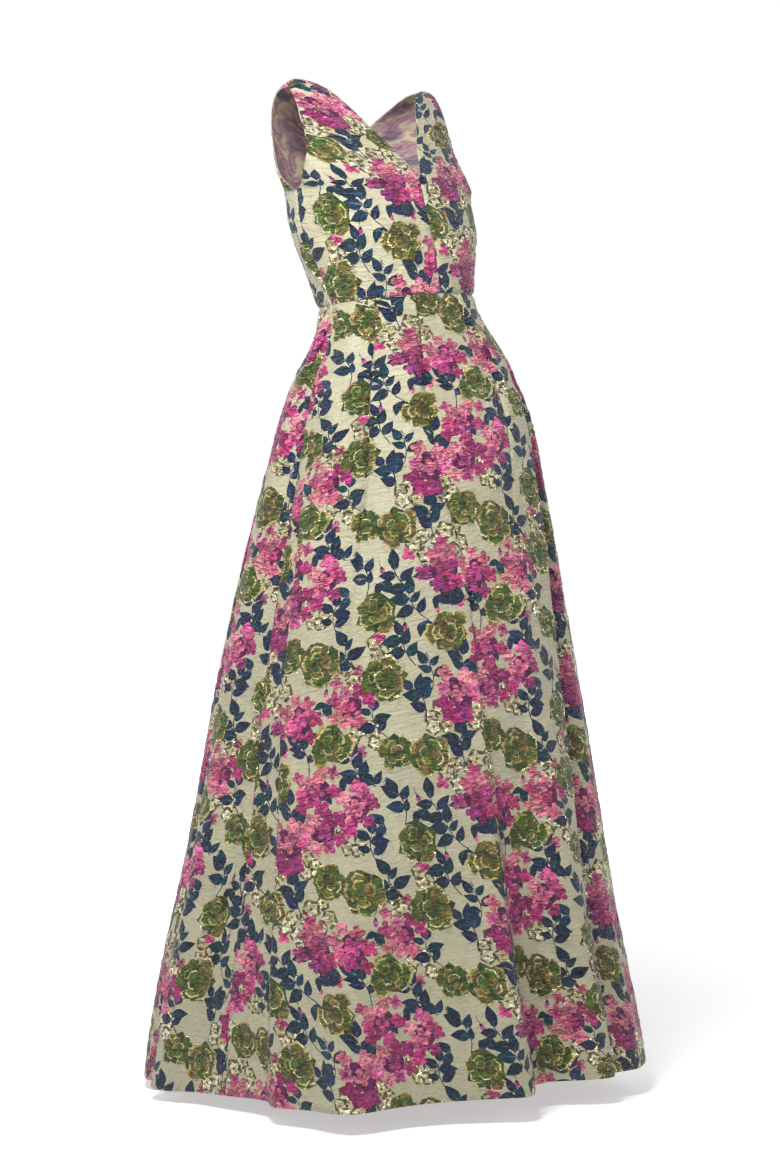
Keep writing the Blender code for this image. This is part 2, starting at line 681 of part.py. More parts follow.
def add_zip_pull(material):
    """The pull tab: a flat drop shape with an eye round the slider's pin."""
    pin_place = slider_places()[1]
    right = [(point.side, -point.below) for point in PULL_TAB]
    left = [(-side, up) for side, up in right[-2::-1]]
    pull = add_object("zip_pull", lambda bm: cut_from_back(bm, right + left, PULL_THICKNESS), material)
    pull.location = pin_place
    eye = add_object("pull_eye", lambda bm: round_bar(bm, EYE_OUTER_RADIUS, PULL_EYE_WIDTH), material)
    eye.location = pin_place
    boolean(pull, eye, "UNION")
    hole = add_object("pull_hole", lambda bm: round_bar(bm, EYE_RADIUS, SLIDER_WIDTH), material)
    hole.location = pin_place
    boolean(pull, hole, "DIFFERENCE")


def clear_scene():
    for old in list(bpy.data.objects):
        bpy.data.objects.remove(old, do_unlink=True)


clear_scene()
jacquard = make_material("jacquard", CLOTH_COLOUR, 0.55, 0.0)
zip_metal = make_material("zip_metal", METAL_COLOUR, 0.3, 1.0)
zip_tape = make_material("zip_tape", TAPE_COLOUR, 0.8, 0.0)
add_bodice(jacquard)
add_skirt(jacquard)
add_zip_tape(zip_tape)
add_zip_slider(zip_metal)
add_zip_pull(zip_metal)
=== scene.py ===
import json
import math
from collections import namedtuple

import bpy
import numpy as np
from mathutils.geometry import delaunay_2d_cdt
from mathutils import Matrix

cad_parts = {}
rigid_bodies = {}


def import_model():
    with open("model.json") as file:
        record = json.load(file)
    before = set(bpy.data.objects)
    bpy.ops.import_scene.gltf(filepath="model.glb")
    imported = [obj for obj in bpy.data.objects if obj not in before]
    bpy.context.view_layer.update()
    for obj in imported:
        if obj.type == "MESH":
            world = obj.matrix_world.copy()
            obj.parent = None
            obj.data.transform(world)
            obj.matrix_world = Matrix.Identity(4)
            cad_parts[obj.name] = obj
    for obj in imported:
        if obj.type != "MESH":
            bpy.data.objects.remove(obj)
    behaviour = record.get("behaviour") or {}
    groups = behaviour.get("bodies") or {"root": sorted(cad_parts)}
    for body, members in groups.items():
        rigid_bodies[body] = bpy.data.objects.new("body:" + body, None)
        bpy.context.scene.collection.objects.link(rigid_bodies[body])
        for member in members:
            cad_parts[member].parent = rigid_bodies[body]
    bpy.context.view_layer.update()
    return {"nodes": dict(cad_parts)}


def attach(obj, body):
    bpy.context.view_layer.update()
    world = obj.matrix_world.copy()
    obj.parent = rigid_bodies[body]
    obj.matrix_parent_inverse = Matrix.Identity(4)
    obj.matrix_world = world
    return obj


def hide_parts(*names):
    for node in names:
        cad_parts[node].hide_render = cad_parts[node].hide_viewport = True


# What Blender's own start file holds isn't part of the frame
for leftover in list(bpy.data.objects):
    bpy.data.objects.remove(leftover)
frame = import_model()

# Bodice. Two fronts that meet in a centre seam below the V, and two backs, cut from a floral jacquard with
# wide straps and one dart up from the waist in each front. The seams draw the cloth in, and the neck and
# armholes are turned in. Sizes are in metres from the middle of the waist seam, to the wearer's left and up.
CLOTH = 0.0016
HALF_GAP = 0.00002

# The part's own origin, midway between the tops of the shoulder straps
SHOULDER_SIDE = -0.026
SHOULDER_FORWARD = -0.049
SHOULDER_HEIGHT = 0.3205

# How closely a bodice panel's grid is set: the distance between its rows, and its number of columns
BODICE_STEP = 0.006
BODICE_COLUMNS = 36

# How the torso leans back above the waist: the middle of each section, from the waist's middle
Lean = namedtuple("Lean", "height side forward")
LEAN = (
    Lean(-0.100, 0.000, 0.000),
    Lean(0.000, 0.000, 0.000),
    Lean(0.055, -0.004, -0.011),
    Lean(0.115, -0.008, -0.023),
    Lean(0.160, -0.010, -0.028),
    Lean(0.215, -0.015, -0.035),
    Lean(0.330, -0.027, -0.050),
)

# How far a level line rises for each metre to the wearer's left and to the front
Tilt = namedtuple("Tilt", "height to_left to_front")
TILT = (
    Tilt(-1.160, 0.018, 0.032),
    Tilt(-0.700, 0.025, 0.045),
    Tilt(-0.300, 0.040, 0.055),
    Tilt(0.000, 0.070, 0.070),
    Tilt(0.080, 0.035, 0.035),
    Tilt(0.158, 0.000, 0.000),
    Tilt(0.340, 0.000, 0.000),
)

# Rows of a bodice panel from waist to shoulder. The inner end lies on the centre seam or the neck edge, the
# outer end on the side seam or the armhole. Depth is measured from the torso's middle towards the panel, turn
# is the way that the surface faces, and crown lifts the middle of the shoulder strap.
Row = namedtuple("Row", "in_height in_side in_depth in_turn out_height out_side out_depth out_turn crown")
FRONT_ROWS = (
    Row(0.000, 0.0000, 0.1060, 0, 0.000, 0.1190, 0.0000, 90, 0),
    Row(0.029, 0.0000, 0.1105, 0, 0.029, 0.1260, 0.0000, 90, 0),
    Row(0.055, 0.0000, 0.1135, 0, 0.055, 0.1345, 0.0000, 90, 0),
    Row(0.085, 0.0000, 0.1150, 0, 0.085, 0.1440, 0.0000, 90, 0),
    Row(0.113, 0.0000, 0.1125, 0, 0.113, 0.1505, 0.0000, 90, 0),
    Row(0.137, 0.0000, 0.1080, 0, 0.137, 0.1515, 0.0000, 90, 0),
    Row(0.157, 0.0000, 0.1050, 0, 0.157, 0.1520, 0.0000, 90, 0),
    Row(0.179, 0.0000, 0.1030, 0, 0.165, 0.1530, 0.0150, 84, 0),
    Row(0.198, 0.0107, 0.0930, 4, 0.186, 0.1500, 0.0215, 79, 0),
    Row(0.219, 0.0215, 0.0800, 8, 0.212, 0.1415, 0.0245, 73, 0),
    Row(0.244, 0.0380, 0.0640, 15, 0.240, 0.1375, 0.0220, 71, 0),
    Row(0.269, 0.0535, 0.0495, 21, 0.268, 0.1375, 0.0180, 69, 0.001),
    Row(0.288, 0.0655, 0.0380, 26, 0.286, 0.1380, 0.0140, 66, 0.003),
    Row(0.303, 0.0760, 0.0275, 31, 0.300, 0.1385, 0.0090, 62, 0.005),
    Row(0.314, 0.0885, 0.0145, 38, 0.308, 0.1390, 0.0045, 60, 0.007),
    Row(0.3205, 0.1020, 0.0000, 45, 0.311, 0.1400, 0.0000, 60, 0.008),
)
BACK_ROWS = (
    Row(0.000, 0.0000, 0.1010, 0, 0.000, 0.1190, 0.0000, 90, 0),
    Row(0.029, 0.0000, 0.1020, 0, 0.029, 0.1260, 0.0000, 90, 0),
    Row(0.055, 0.0000, 0.1030, 0, 0.055, 0.1345, 0.0000, 90, 0),
    Row(0.085, 0.0000, 0.1040, 0, 0.085, 0.1440, 0.0000, 90, 0),
    Row(0.113, 0.0000, 0.1050, 0, 0.113, 0.1505, 0.0000, 90, 0),
    Row(0.137, 0.0000, 0.1060, 0, 0.137, 0.1515, 0.0000, 90, 0),
    Row(0.157, 0.0000, 0.1065, 0, 0.157, 0.1520, 0.0000, 90, 0),
    Row(0.186, 0.0000, 0.1065, 0, 0.167, 0.1510, 0.0200, 82, 0),
    Row(0.210, 0.0000, 0.1055, 0, 0.186, 0.1490, 0.0400, 73, 0),
    Row(0.232, 0.0000, 0.1030, 0, 0.212, 0.1435, 0.0520, 67, 0),
    Row(0.241, 0.0220, 0.0985, 9, 0.238, 0.1410, 0.0545, 64, 0),
    Row(0.255, 0.0450, 0.0900, 18, 0.262, 0.1400, 0.0520, 63, 0),
    Row(0.273, 0.0645, 0.0770, 26, 0.282, 0.1395, 0.0450, 62, 0.002),
    Row(0.291, 0.0800, 0.0590, 33, 0.296, 0.1395, 0.0350, 60, 0.004),
    Row(0.308, 0.0930, 0.0360, 40, 0.306, 0.1397, 0.0205, 60, 0.006),
    Row(0.3205, 0.1020, 0.0000, 45, 0.311, 0.1400, 0.0000, 60, 0.008),
)
# Rows where an edge turns a corner: the underarm, and the foot of the V or the back neck
FRONT_CORNERS = (0, 6, 7, 15)
BACK_CORNERS = (0, 6, 9, 15)

# Soft fullness of the bust over the front rows
BUST_FULLNESS = 0.008
BUST_SIDE = 0.076
BUST_HEIGHT = 0.105
BUST_SPREAD = 0.048

# Darts of the fronts, from their foot on the waist seam to their point, by hand (1 is the wearer's left)
Dart = namedtuple("Dart", "hand foot_side point_side point_height")
DARTS = (Dart(1, 0.046, 0.056, 0.074), Dart(-1, 0.060, 0.067, 0.076))
DART_DEPTH = 0.0014
DART_WIDTH = 0.0022

# Creases of the tightly fitted bodice, deepest near the waist, and how soon they start beside a seam
CREASE_DEPTH = 0.0007
CREASE_HEIGHT = 0.055
CREASE_START = 0.02


def place(side, forward, height):
    """Points in the part's own frame, from places measured at the middle of the waist seam."""
    heights = [row.height for row in TILT]
    to_left = smooth(height, heights, [row.to_left for row in TILT])
    to_front = smooth(height, heights, [row.to_front for row in TILT])
    up = height + to_left * side + to_front * forward
    return np.stack([side - SHOULDER_SIDE, SHOULDER_FORWARD - forward, up - SHOULDER_HEIGHT], axis=-1)


def normals_of(grid):
    """Unit normals of a grid of points. Its rows climb and its columns run so that they face outwards."""
    along = np.gradient(grid, axis=1)
    up = np.gradient(grid, axis=0)
    return unit(np.cross(up, along))


def panel_rows(rows, corners):
    """The table's rows with smooth ones between them, every BODICE_STEP or so up the panel's middle."""
    table = np.array(rows, float)
    middle = (table[:, 0:3] + table[:, 4:7]) / 2
    run = np.concatenate([[0], np.cumsum(np.linalg.norm(np.diff(middle, axis=0), axis=1))])
    pieces = []
    for first, last in zip(corners, corners[1:]):
        stretch = slice(first, last + 1)
        for i in range(first, last):
            count = math.ceil((run[i + 1] - run[i]) / BODICE_STEP)
            at = np.linspace(run[i], run[i + 1], count, endpoint=False)
            pieces.append(smooth(at, run[stretch], table[stretch]))
    return np.concatenate(pieces + [table[-1:]])


def bust(side, height, turn):
    """How far the bust stands out beyond the front rows."""
    across = (side - BUST_SIDE) / BUST_SPREAD
    along = (height - BUST_HEIGHT) / BUST_SPREAD
    return BUST_FULLNESS * np.exp(-(across**2) - along**2) * np.cos(turn)


def bodice_panel(rows, corners, is_front):
    """Grids of a panel's outer and inner points as (side, depth, height), for the wearer's left."""
    table = panel_rows(rows, corners)
    in_height, in_side, in_depth, in_turn, out_height, out_side, out_depth, out_turn, crown = (
        table.T[..., None]
    )
    share = np.linspace(0, 1, BODICE_COLUMNS)
    turn = np.radians(in_turn + (out_turn - in_turn) * share)
    first = np.radians(in_turn)
    last = np.radians(out_turn)
    across = (np.sin(turn) - np.sin(first)) / (np.sin(last) - np.sin(first))
    back = (np.cos(first) - np.cos(turn)) / (np.cos(first) - np.cos(last))
    side = in_side + (out_side - in_side) * across
    depth = in_depth + (out_depth - in_depth) * back
    height = in_height + (out_height - in_height) * share + crown * 4 * share * (1 - share)
    if is_front:
        depth = depth + bust(side, height, turn)
    grid = np.stack([side, depth, height], axis=-1)
    normals = normals_of(grid)
    on_centre = np.abs(grid[:, 0, 0]) < HALF_GAP
    on_side = np.abs(grid[:, -1, 1]) < HALF_GAP
    on_side[-1] = False
    normals[on_centre, 0, 0] = 0
    normals[on_side, -1, 1] = 0
    normals[0, :, 2] = 0
    normals[-1, :, 1] = 0
    grid[on_centre, 0, 0] = HALF_GAP
    grid[on_side, -1, 1] = HALF_GAP
    grid[0, :, 2] = HALF_GAP
    grid[-1, :, 1] = HALF_GAP
    return grid, grid - CLOTH * unit(normals)


def lean_back(grid, hand, facing):
    """A panel's points on the leaning torso. hand is 1 for the wearer's left, facing is 1 for the front."""
    heights = [row.height for row in LEAN]
    side = hand * grid[..., 0] + smooth(grid[..., 2], heights, [row.side for row in LEAN])
    forward = facing * grid[..., 1] + smooth(grid[..., 2], heights, [row.forward for row in LEAN])
    return place(side, forward, grid[..., 2])


def drag(grid):
    """Soft uneven creases in the bodice, in metres inwards."""
    turn = np.arctan2(grid[..., 0], grid[..., 1])
    height = grid[..., 2]
    wave = np.sin(9 * turn + 34 * height + 0.6) + 0.7 * np.sin(14 * turn - 52 * height + 2.0)
    low = np.exp(-((height / CREASE_HEIGHT) ** 2))
    starts = ease(height / CREASE_START) * ease(grid[..., 0] / CREASE_START)
    return CREASE_DEPTH * wave * (0.35 + low) * starts


def dart_dip(grid, hand):
    """How deep the dart draws the front in, in metres."""
    dip = np.zeros(grid.shape[:2])
    for dart in DARTS:
        if dart.hand == hand:
            share = np.clip(grid[..., 2] / dart.point_height, 0, 1)
            away = grid[..., 0] - (dart.foot_side + (dart.point_side - dart.foot_side) * share)
            dip += DART_DEPTH * np.exp(-((away / DART_WIDTH) ** 2)) * (1 - ease(share))
    return dip


# The bodice's cloth, which the skirt shares: a crinkled jacquard with a floral repeat of magenta flower
# heads, navy leaf sprays and olive peonies edged with gold thread on a sage ground. The flowers are raised,
# puckered areas of their own threads. Each is a patch in millimetres, and later ones lie over earlier ones.
REPEAT_WIDTH = 290
REPEAT_HEIGHT = 326
Patch = namedtuple("Patch", "outline heart tip centre reach lift gold")
draws = np.random.default_rng(41)


def dye(red, green, blue):
    """A thread's colour, from its screen values of 0 to 255."""
    share = np.array([red, green, blue]) / 255
    return np.where(share < 0.04045, share / 12.92, ((share + 0.055) / 1.055) ** 2.4)


GROUND = dye(172, 167, 140)
NAVY = (dye(16, 38, 68), dye(14, 54, 80), dye(26, 38, 78), dye(12, 50, 64))
VEIN = dye(104, 124, 132)
MAGENTA = (dye(164, 42, 108), dye(186, 52, 120), dye(168, 56, 134), dye(146, 32, 98), dye(198, 64, 116))
# Dark purple painted as shade beneath the flower heads
PAINTED_SHADE_PURPLE = dye(104, 22, 84)
PINK = (dye(220, 92, 142), dye(226, 116, 152), dye(236, 142, 150), dye(212, 98, 156), dye(238, 158, 150))
OLIVE = (dye(78, 106, 42), dye(100, 112, 46), dye(58, 94, 50), dye(120, 112, 56))
BRONZE = (dye(128, 108, 62), dye(112, 100, 54))
GOLD = (dye(214, 196, 128), dye(236, 224, 172), dye(196, 174, 108))
TAUPE = dye(112, 98, 64)
CREAM = (dye(244, 238, 206), dye(250, 246, 222))


def pick(shades):
    """One of several shades, at random."""
    return shades[draws.integers(len(shades))]


def lobe(length, width, peak, points, blunt=1.0):
    """Outline of a leaf or petal that grows up. peak moves its widest place, blunt rounds its tip."""
    along = np.linspace(0, 1, points)
    half = width / 2 * np.sin(np.pi * along**peak) ** blunt
    right = np.stack([half, along * length], axis=1)
    left = np.stack([-half, along * length], axis=1)[-2:0:-1]
    return np.concatenate([right, left])


def ribbon(path, width):
    """Outline of a stem of even width along a path that ends in a point."""
    path = np.array(path, float)
    along = np.gradient(path, axis=0)
    across = np.stack([-along[:, 1], along[:, 0]], axis=1) / np.linalg.norm(along, axis=1)[:, None]
    right = path[:-1] - across[:-1] * width / 2
    left = path[:-1] + across[:-1] * width / 2
    return np.concatenate([right, path[-1:], left[::-1]])


def patch(outline, heart, tip, lift, gold=0.0, shade=0.14):
    """One woven area, or painted shade beneath others, its colour running from heart at the origin to tip at
    its far end.
    """
    outline = np.array(outline, float)
    x, y = outline.T
    if (x * np.roll(y, -1) - y * np.roll(x, -1)).sum() < 0:
        outline = outline[::-1]
    gaps = np.linalg.norm(outline - np.roll(outline, 1, axis=0), axis=1)
    outline = np.roll(outline, -np.argmin(gaps), axis=0)
    light = 1 + draws.uniform(-shade, shade)
    reach = np.linalg.norm(outline, axis=1).max()
    return Patch(outline, heart * light, tip * light, np.zeros(2), reach, lift, gold)


def lay(patches, x, y, degrees=0.0, size=1.0):
    """A motif turned anticlockwise, resized and moved to its place."""
    turn = math.radians(degrees)
    spin = np.array([[math.cos(turn), math.sin(turn)], [-math.sin(turn), math.cos(turn)]]) * size
    at = np.array([x, y])
    return [
        p._replace(outline=p.outline @ spin + at, centre=p.centre @ spin + at, reach=p.reach * size)
        for p in patches
    ]


def leaf(length):
    """A slightly bent leaf with a pale vein."""
    bend = draws.uniform(-0.16, 0.16)
    outline = lobe(length, length * draws.uniform(0.5, 0.66), 0.72, 6)
    outline[:, 0] += bend * length * (outline[:, 1] / length) ** 2
    heart = pick(NAVY)
    vein = [(-0.45, 0.5), (0.45, 0.5), (bend * length * 0.7, length * 0.84)]
    return [patch(outline, heart, pick(NAVY), 0.9), patch(vein, VEIN, heart, 0.2)]


def spray(height):
    """A bent stem with a leaf at its top and others that alternate down its sides."""
    bend = draws.uniform(0.08, 0.2) * draws.choice((-1, 1))
    along = np.linspace(-0.5, 0.3, 5)
    path = np.stack([bend * height * (1 - (2.2 * along) ** 2), along * height], axis=1)
    patches = [patch(ribbon(path, 1.5), pick(NAVY), pick(NAVY), 0.4)]
    top_leaf = leaf(height * draws.uniform(0.36, 0.46))
    patches += lay(top_leaf, bend * height * 0.6, height * 0.2, draws.uniform(-30, 30))
    side = draws.choice((-1, 1))
    for step in (0.14, 0.0, -0.12, -0.26):
        foot = bend * height * (1 - (2.2 * step) ** 2)
        side_leaf = leaf(height * draws.uniform(0.3, 0.46))
        up = height * (step + draws.uniform(-0.04, 0.04))
        patches += lay(side_leaf, foot, up, side * draws.uniform(28, 84))
        side = -side
    return patches


def flower(radius, hearts, tips):
    """Four broad petals round a small eye."""
    around = [k * math.pi / 2 + part for k in range(4) for part in (-0.46, 0, 0.46, 0.785)]
    turns = draws.uniform(0, 1.5) + np.array(around)
    reach = np.array([0.9, 1.08, 0.9, 0.56] * 4) * radius * draws.uniform(0.92, 1.08, 16)
    petals = np.stack([np.cos(turns) * reach, np.sin(turns) * reach], axis=1)
    eye = [(math.cos(t) * radius * 0.2, math.sin(t) * radius * 0.2) for t in (0.3, 2.3, 4.5)]
    # The petals run from a lightened heart to tips darkened to 0.85: their own two tones, and painted shade
    # where florets meet
    return [
        patch(petals, pick(hearts) * 1.1, pick(tips) * 0.85, draws.uniform(0.5, 1.4), 0, 0.25),
        patch(eye, pick(hearts) * 0.55, pick(hearts) * 0.55, 0.3),
    ]


def flower_head(radius):
    """An uneven head of many flowers over a few leaves, lighter towards one side."""
    patches = []
    for lean in draws.uniform(0, 360, 3):
        patches += lay(leaf(radius * draws.uniform(0.7, 0.9)), 0, 0, lean)
        patches = lay(patches, radius * draws.uniform(-0.25, 0.25), radius * draws.uniform(-0.2, 0.2))
    # A dark purple base under the flowers, painted shade that shows between them
    around = np.linspace(0, 2 * math.pi, 8, endpoint=False)
    reaches = radius * draws.uniform(0.5, 0.8, 8)
    base = [(math.cos(t) * reach, math.sin(t) * reach * 0.75) for t, reach in zip(around, reaches)]
    patches.append(patch(base, PAINTED_SHADE_PURPLE, PAINTED_SHADE_PURPLE, 0.2))
    light_side = draws.uniform(0, 2 * math.pi)
    placed = np.array([(0.0, 0.0)])
    for _ in range(8):
        turns = draws.uniform(0, 2 * math.pi, 30)
        outs = np.sqrt(draws.uniform(0, 1, 30))
        tries = np.stack([np.cos(turns) * outs * radius * 0.95, np.sin(turns) * outs * radius * 0.7], axis=1)
        apart = np.linalg.norm(tries[:, None] - placed, axis=2).min(axis=1)
        placed = np.vstack([placed, tries[np.argmax(apart)]])
    for x, y in placed[::-1]:
        lit = (x * math.cos(light_side) + y * math.sin(light_side)) / radius + draws.uniform(-0.35, 0.35)
        if lit > 0.3:
            shades = (PINK, PINK)
        elif lit > -0.2:
            shades = (MAGENTA, PINK)
        else:
            shades = (MAGENTA, MAGENTA)
        patches += lay(flower(radius * draws.uniform(0.3, 0.4), *shades), x, y)
    return patches


def peony(radius):
    """Three rings of ruffled petals, each edged with gold thread."""
    # A dark olive base under the petals, painted shade that shows in the gaps between them
    around = np.linspace(0, 2 * math.pi, 12, endpoint=False)
    reaches = radius * draws.uniform(0.66, 0.98, 12)
    base = [(math.cos(t) * reach, math.sin(t) * reach) for t, reach in zip(around, reaches)]
    patches = [patch(base, pick(OLIVE) * 0.45, pick(OLIVE) * 0.6, 0.6)]
    for out, count, long, wide in ((0.42, 6, 0.60, 0.74), (0.26, 4, 0.50, 0.66), (0.06, 3, 0.42, 0.54)):
        start = draws.uniform(0, 90)
        for k in range(count):
            turn = start + k * 360 / count + draws.uniform(-20, 20)
            stretch = draws.uniform(0.74, 1.16)
            heading = math.radians(turn)
            foot = (-math.sin(heading) * out * radius, math.cos(heading) * out * radius)
            wide_now = wide * radius * draws.uniform(0.8, 1.15)
            shades = OLIVE if draws.random() < 0.8 else BRONZE
            if draws.random() < 0.8:
                rim = patch(lobe(long * radius, wide_now, 1.3, 4, 0.6), pick(BRONZE), pick(GOLD), 1.5, 0.9)
                patches += lay([rim], *foot, turn, stretch)
            slip = draws.uniform(-0.05, 0.05) * radius
            petal = lobe(long * radius * 0.84, wide_now * 0.88, 1.25, 4, 0.7)
            fill = patch(petal, pick(shades) * 0.75, pick(shades), 1.1, 0.25)
            patches += lay([fill], foot[0] + slip, foot[1], turn, stretch)
    return patches


def peony_pair(radius):
    """Two peonies side by side, the second a little larger."""
    patches = lay(peony(radius * 0.86), -radius * 0.72, radius * 0.2)
    return patches + lay(peony(radius), radius * 0.62, -radius * 0.12)


def blossom(radius):
    """A small flower of cream and gold thread on a taupe shadow."""
    turns = np.linspace(0, 2 * math.pi, 10, endpoint=False)
    reach = np.where(np.arange(10) % 2, 0.62, 1) * radius * draws.uniform(0.85, 1.1, 10)
    petals = np.stack([np.cos(turns) * reach, np.sin(turns) * reach], axis=1)
    shade = [(math.cos(t) * radius * 1.12, math.sin(t) * radius * 1.12) for t in turns[::2] + 0.3]
    eye = [(math.cos(t) * radius * 0.26, math.sin(t) * radius * 0.26) for t in (0.2, 2.3, 4.4)]
    patches = [
        patch(shade, TAUPE, TAUPE, 0.5, 0.3),
        patch(petals, pick(GOLD), pick(CREAM), 1.3, 1.0),
        patch(eye, TAUPE, TAUPE, 0.5),
    ]
    return lay(patches, 0, 0, draws.uniform(0, 72))


def blossom_group(radius):
    """Four gold blossoms and one pink flower in a loose ring."""
    patches = []
    start = draws.uniform(0, 360)
    for k in range(5):
        turn = math.radians(start + 72 * k + draws.uniform(-18, 18))
        kind = flower(radius * 0.36, MAGENTA, PINK) if k == 4 else blossom(radius * draws.uniform(0.34, 0.5))
        out = radius * draws.uniform(0.45, 0.75)
        patches += lay(kind, math.cos(turn) * out, math.sin(turn) * out * 0.8)
    return patches


def sprig(length):
    """A feathery twig of narrow leaflets."""
    shade = pick(NAVY[1:])
    patches = [patch([(-0.5, 0), (0.5, 0), (0, length)], shade, shade, 0.3)]
    for k in range(6):
        side = -1 if k % 2 else 1
        leaflet = patch([(-0.9, 0), (0.9, 0.4), (0, length * 0.4)], shade, VEIN * 0.7, 0.4)
        patches += lay([leaflet], 0, length * (0.15 + 0.13 * k), side * -draws.uniform(36, 56))
    return patches


def bud(length):
    """A drooping bud on a bent stalk."""
    stalk = ribbon([(0, 0), (-length * 0.06, length * 0.5), (length * 0.14, length * 0.95)], 0.9)
    patches = [patch(stalk, NAVY[1], NAVY[0], 0.3)]
    petals = patch(lobe(length * 0.72, length * 0.42, 0.8, 5), pick(MAGENTA), pick(PINK), 1.0)
    patches += lay([petals], 0, 2, 180)
    for side in (-22, 22):
        sepal = patch(lobe(length * 0.3, length * 0.16, 0.8, 4), NAVY[0], NAVY[1], 0.6)
        patches += lay([sepal], 0, 3, 180 + side)
    return patches


def leaf_pair(length):
    """Two leaves that spread from one point."""
    patches = lay(leaf(length), 0, 0, draws.uniform(20, 50))
    return patches + lay(leaf(length * 0.8), 0, 0, -draws.uniform(30, 70))


# How many of each motif one repeat holds, and the radius that each takes up, largest first
Sowing = namedtuple("Sowing", "motif count radius size upright")
SOWINGS = (
    Sowing(peony_pair, 2, 48, 34, True),
    Sowing(peony, 4, 32, 36, False),
    Sowing(flower_head, 7, 27, 34, False),
    Sowing(spray, 13, 22, 68, True),
    Sowing(blossom_group, 8, 18, 28, False),
    Sowing(leaf_pair, 10, 9, 27, False),
    Sowing(sprig, 7, 8, 19, False),
    Sowing(bud, 5, 9, 18, True),
    Sowing(lambda size: flower(size, MAGENTA, PINK), 7, 8, 10, False),
)
PLACES_TRIED = 400


def sow():
    """One repeat, which joins itself on all sides. Each motif goes to the emptiest of many places tried."""
    taken = np.zeros((0, 3))
    laid = []
    for order, sowing in enumerate(SOWINGS):
        for _ in range(sowing.count):
            tries = draws.uniform((0, 0), (REPEAT_WIDTH, REPEAT_HEIGHT), (PLACES_TRIED, 2))
            if len(taken):
                apart = tries[:, None, :] - taken[None, :, :2]
                column = np.round(apart[..., 0] / REPEAT_WIDTH)
                apart[..., 0] -= column * REPEAT_WIDTH
                apart[..., 1] -= column * REPEAT_HEIGHT / 2
                apart[..., 1] -= np.round(apart[..., 1] / REPEAT_HEIGHT) * REPEAT_HEIGHT
                room = np.linalg.norm(apart, axis=2) - taken[:, 2]
                best = tries[np.argmax(room.min(axis=1))]
            else:
                best = tries[0]
            taken = np.vstack([taken, [*best, sowing.radius]])
            turn = draws.uniform(-25, 25) if sowing.upright else draws.uniform(0, 360)
            laid.append((order, lay(sowing.motif(sowing.size), *best, turn, draws.uniform(0.92, 1.08))))
    laid.sort(key=lambda pair: -pair[0])
    return [motif for _, motif in laid]


repeat = sow()


def drawing(flat_low, flat_high, shift, is_near):
    """All patches that reach a cloth panel, in the order they are woven over each other."""
    patches = []
    size = np.array([REPEAT_WIDTH, REPEAT_HEIGHT])
    first_column, first_row = np.floor((flat_low - shift) / size).astype(int)
    last_column, last_row = np.ceil((flat_high - shift) / size).astype(int)
    for motif in repeat:
        middle = np.mean([p.centre for p in motif], axis=0)
        for column in range(first_column - 1, last_column + 1):
            for row in range(first_row - 2, last_row + 2):
                move = np.array([
                    column * REPEAT_WIDTH + shift[0],
                    (row + 0.5 * column) * REPEAT_HEIGHT + shift[1],
                ])
                if is_near(middle + move):
                    patches += [p._replace(outline=p.outline + move, centre=p.centre + move) for p in motif]
    return patches


# A panel is a thin shell on the outer face of its solid, cut from the flat jacquard: the flat panel is
# divided along the outlines of its woven areas, and every point is then carried to the shaped cloth. Woven
# areas stand up from the crinkled ground, and the cloth dips where it is sewn to its neighbour.
SHELL = 0.0010
SEAM_DIP = 0.0011
INWARD_STEP = 0.001

# On the flat cloth, in millimetres: the width of a seam's dip, of the smooth border beside an edge and of
# the strip round a panel where motifs still count, and how near two points become one. SHARPEST is the most
# degrees that one triangle bends.
SEAM_SPREAD = 2.6
FLAT_BORDER = 7
NEAR_BY = 40
MERGE = 0.1
SHARPEST = 21
Cut = namedtuple("Cut", "outer inward flat_x flat_y across up apex")


def smooth(at, knots, values):
    """Values of the smooth curve that passes through values at knots, read at the places in at."""
    at = np.asarray(at, float)
    knots = np.asarray(knots, float)
    values = np.asarray(values, float)
    slopes = np.gradient(values, knots, axis=0)
    start = np.clip(np.searchsorted(knots, at) - 1, 0, len(knots) - 2)
    span = knots[start + 1] - knots[start]
    share = (at - knots[start]) / span
    if values.ndim > 1:
        share = share[..., None]
        span = span[..., None]
    left = 1 - share
    from_start = (1 + 2 * share) * left**2 * values[start] + share * left**2 * span * slopes[start]
    from_end = share**2 * (3 - 2 * share) * values[start + 1] - share**2 * left * span * slopes[start + 1]
    return from_start + from_end


def ease(share):
    """0 before 0 and 1 after 1, with a smooth climb between."""
    share = np.clip(share, 0, 1)
    return share * share * (3 - 2 * share)


def unit(vectors):
    """Vectors of length 1."""
    return vectors / np.linalg.norm(vectors, axis=-1, keepdims=True)


RIPPLE_CELLS = 64
ripple_table = draws.uniform(-1, 1, (RIPPLE_CELLS, RIPPLE_CELLS))


def ripple(x, y, wide, tall, start=0):
    """Uneven soft waves from -1 to 1, about as wide and tall as said."""
    x = x / wide + start
    y = y / tall + start * 1.7
    column = np.floor(x).astype(int)
    row = np.floor(y).astype(int)
    right = ease(x - column)
    up = ease(y - row)

    def along(row):
        here = ripple_table[row % RIPPLE_CELLS, column % RIPPLE_CELLS]
        beside = ripple_table[row % RIPPLE_CELLS, (column + 1) % RIPPLE_CELLS]
        return here * (1 - right) + beside * right

    return along(row) * (1 - up) + along(row + 1) * up


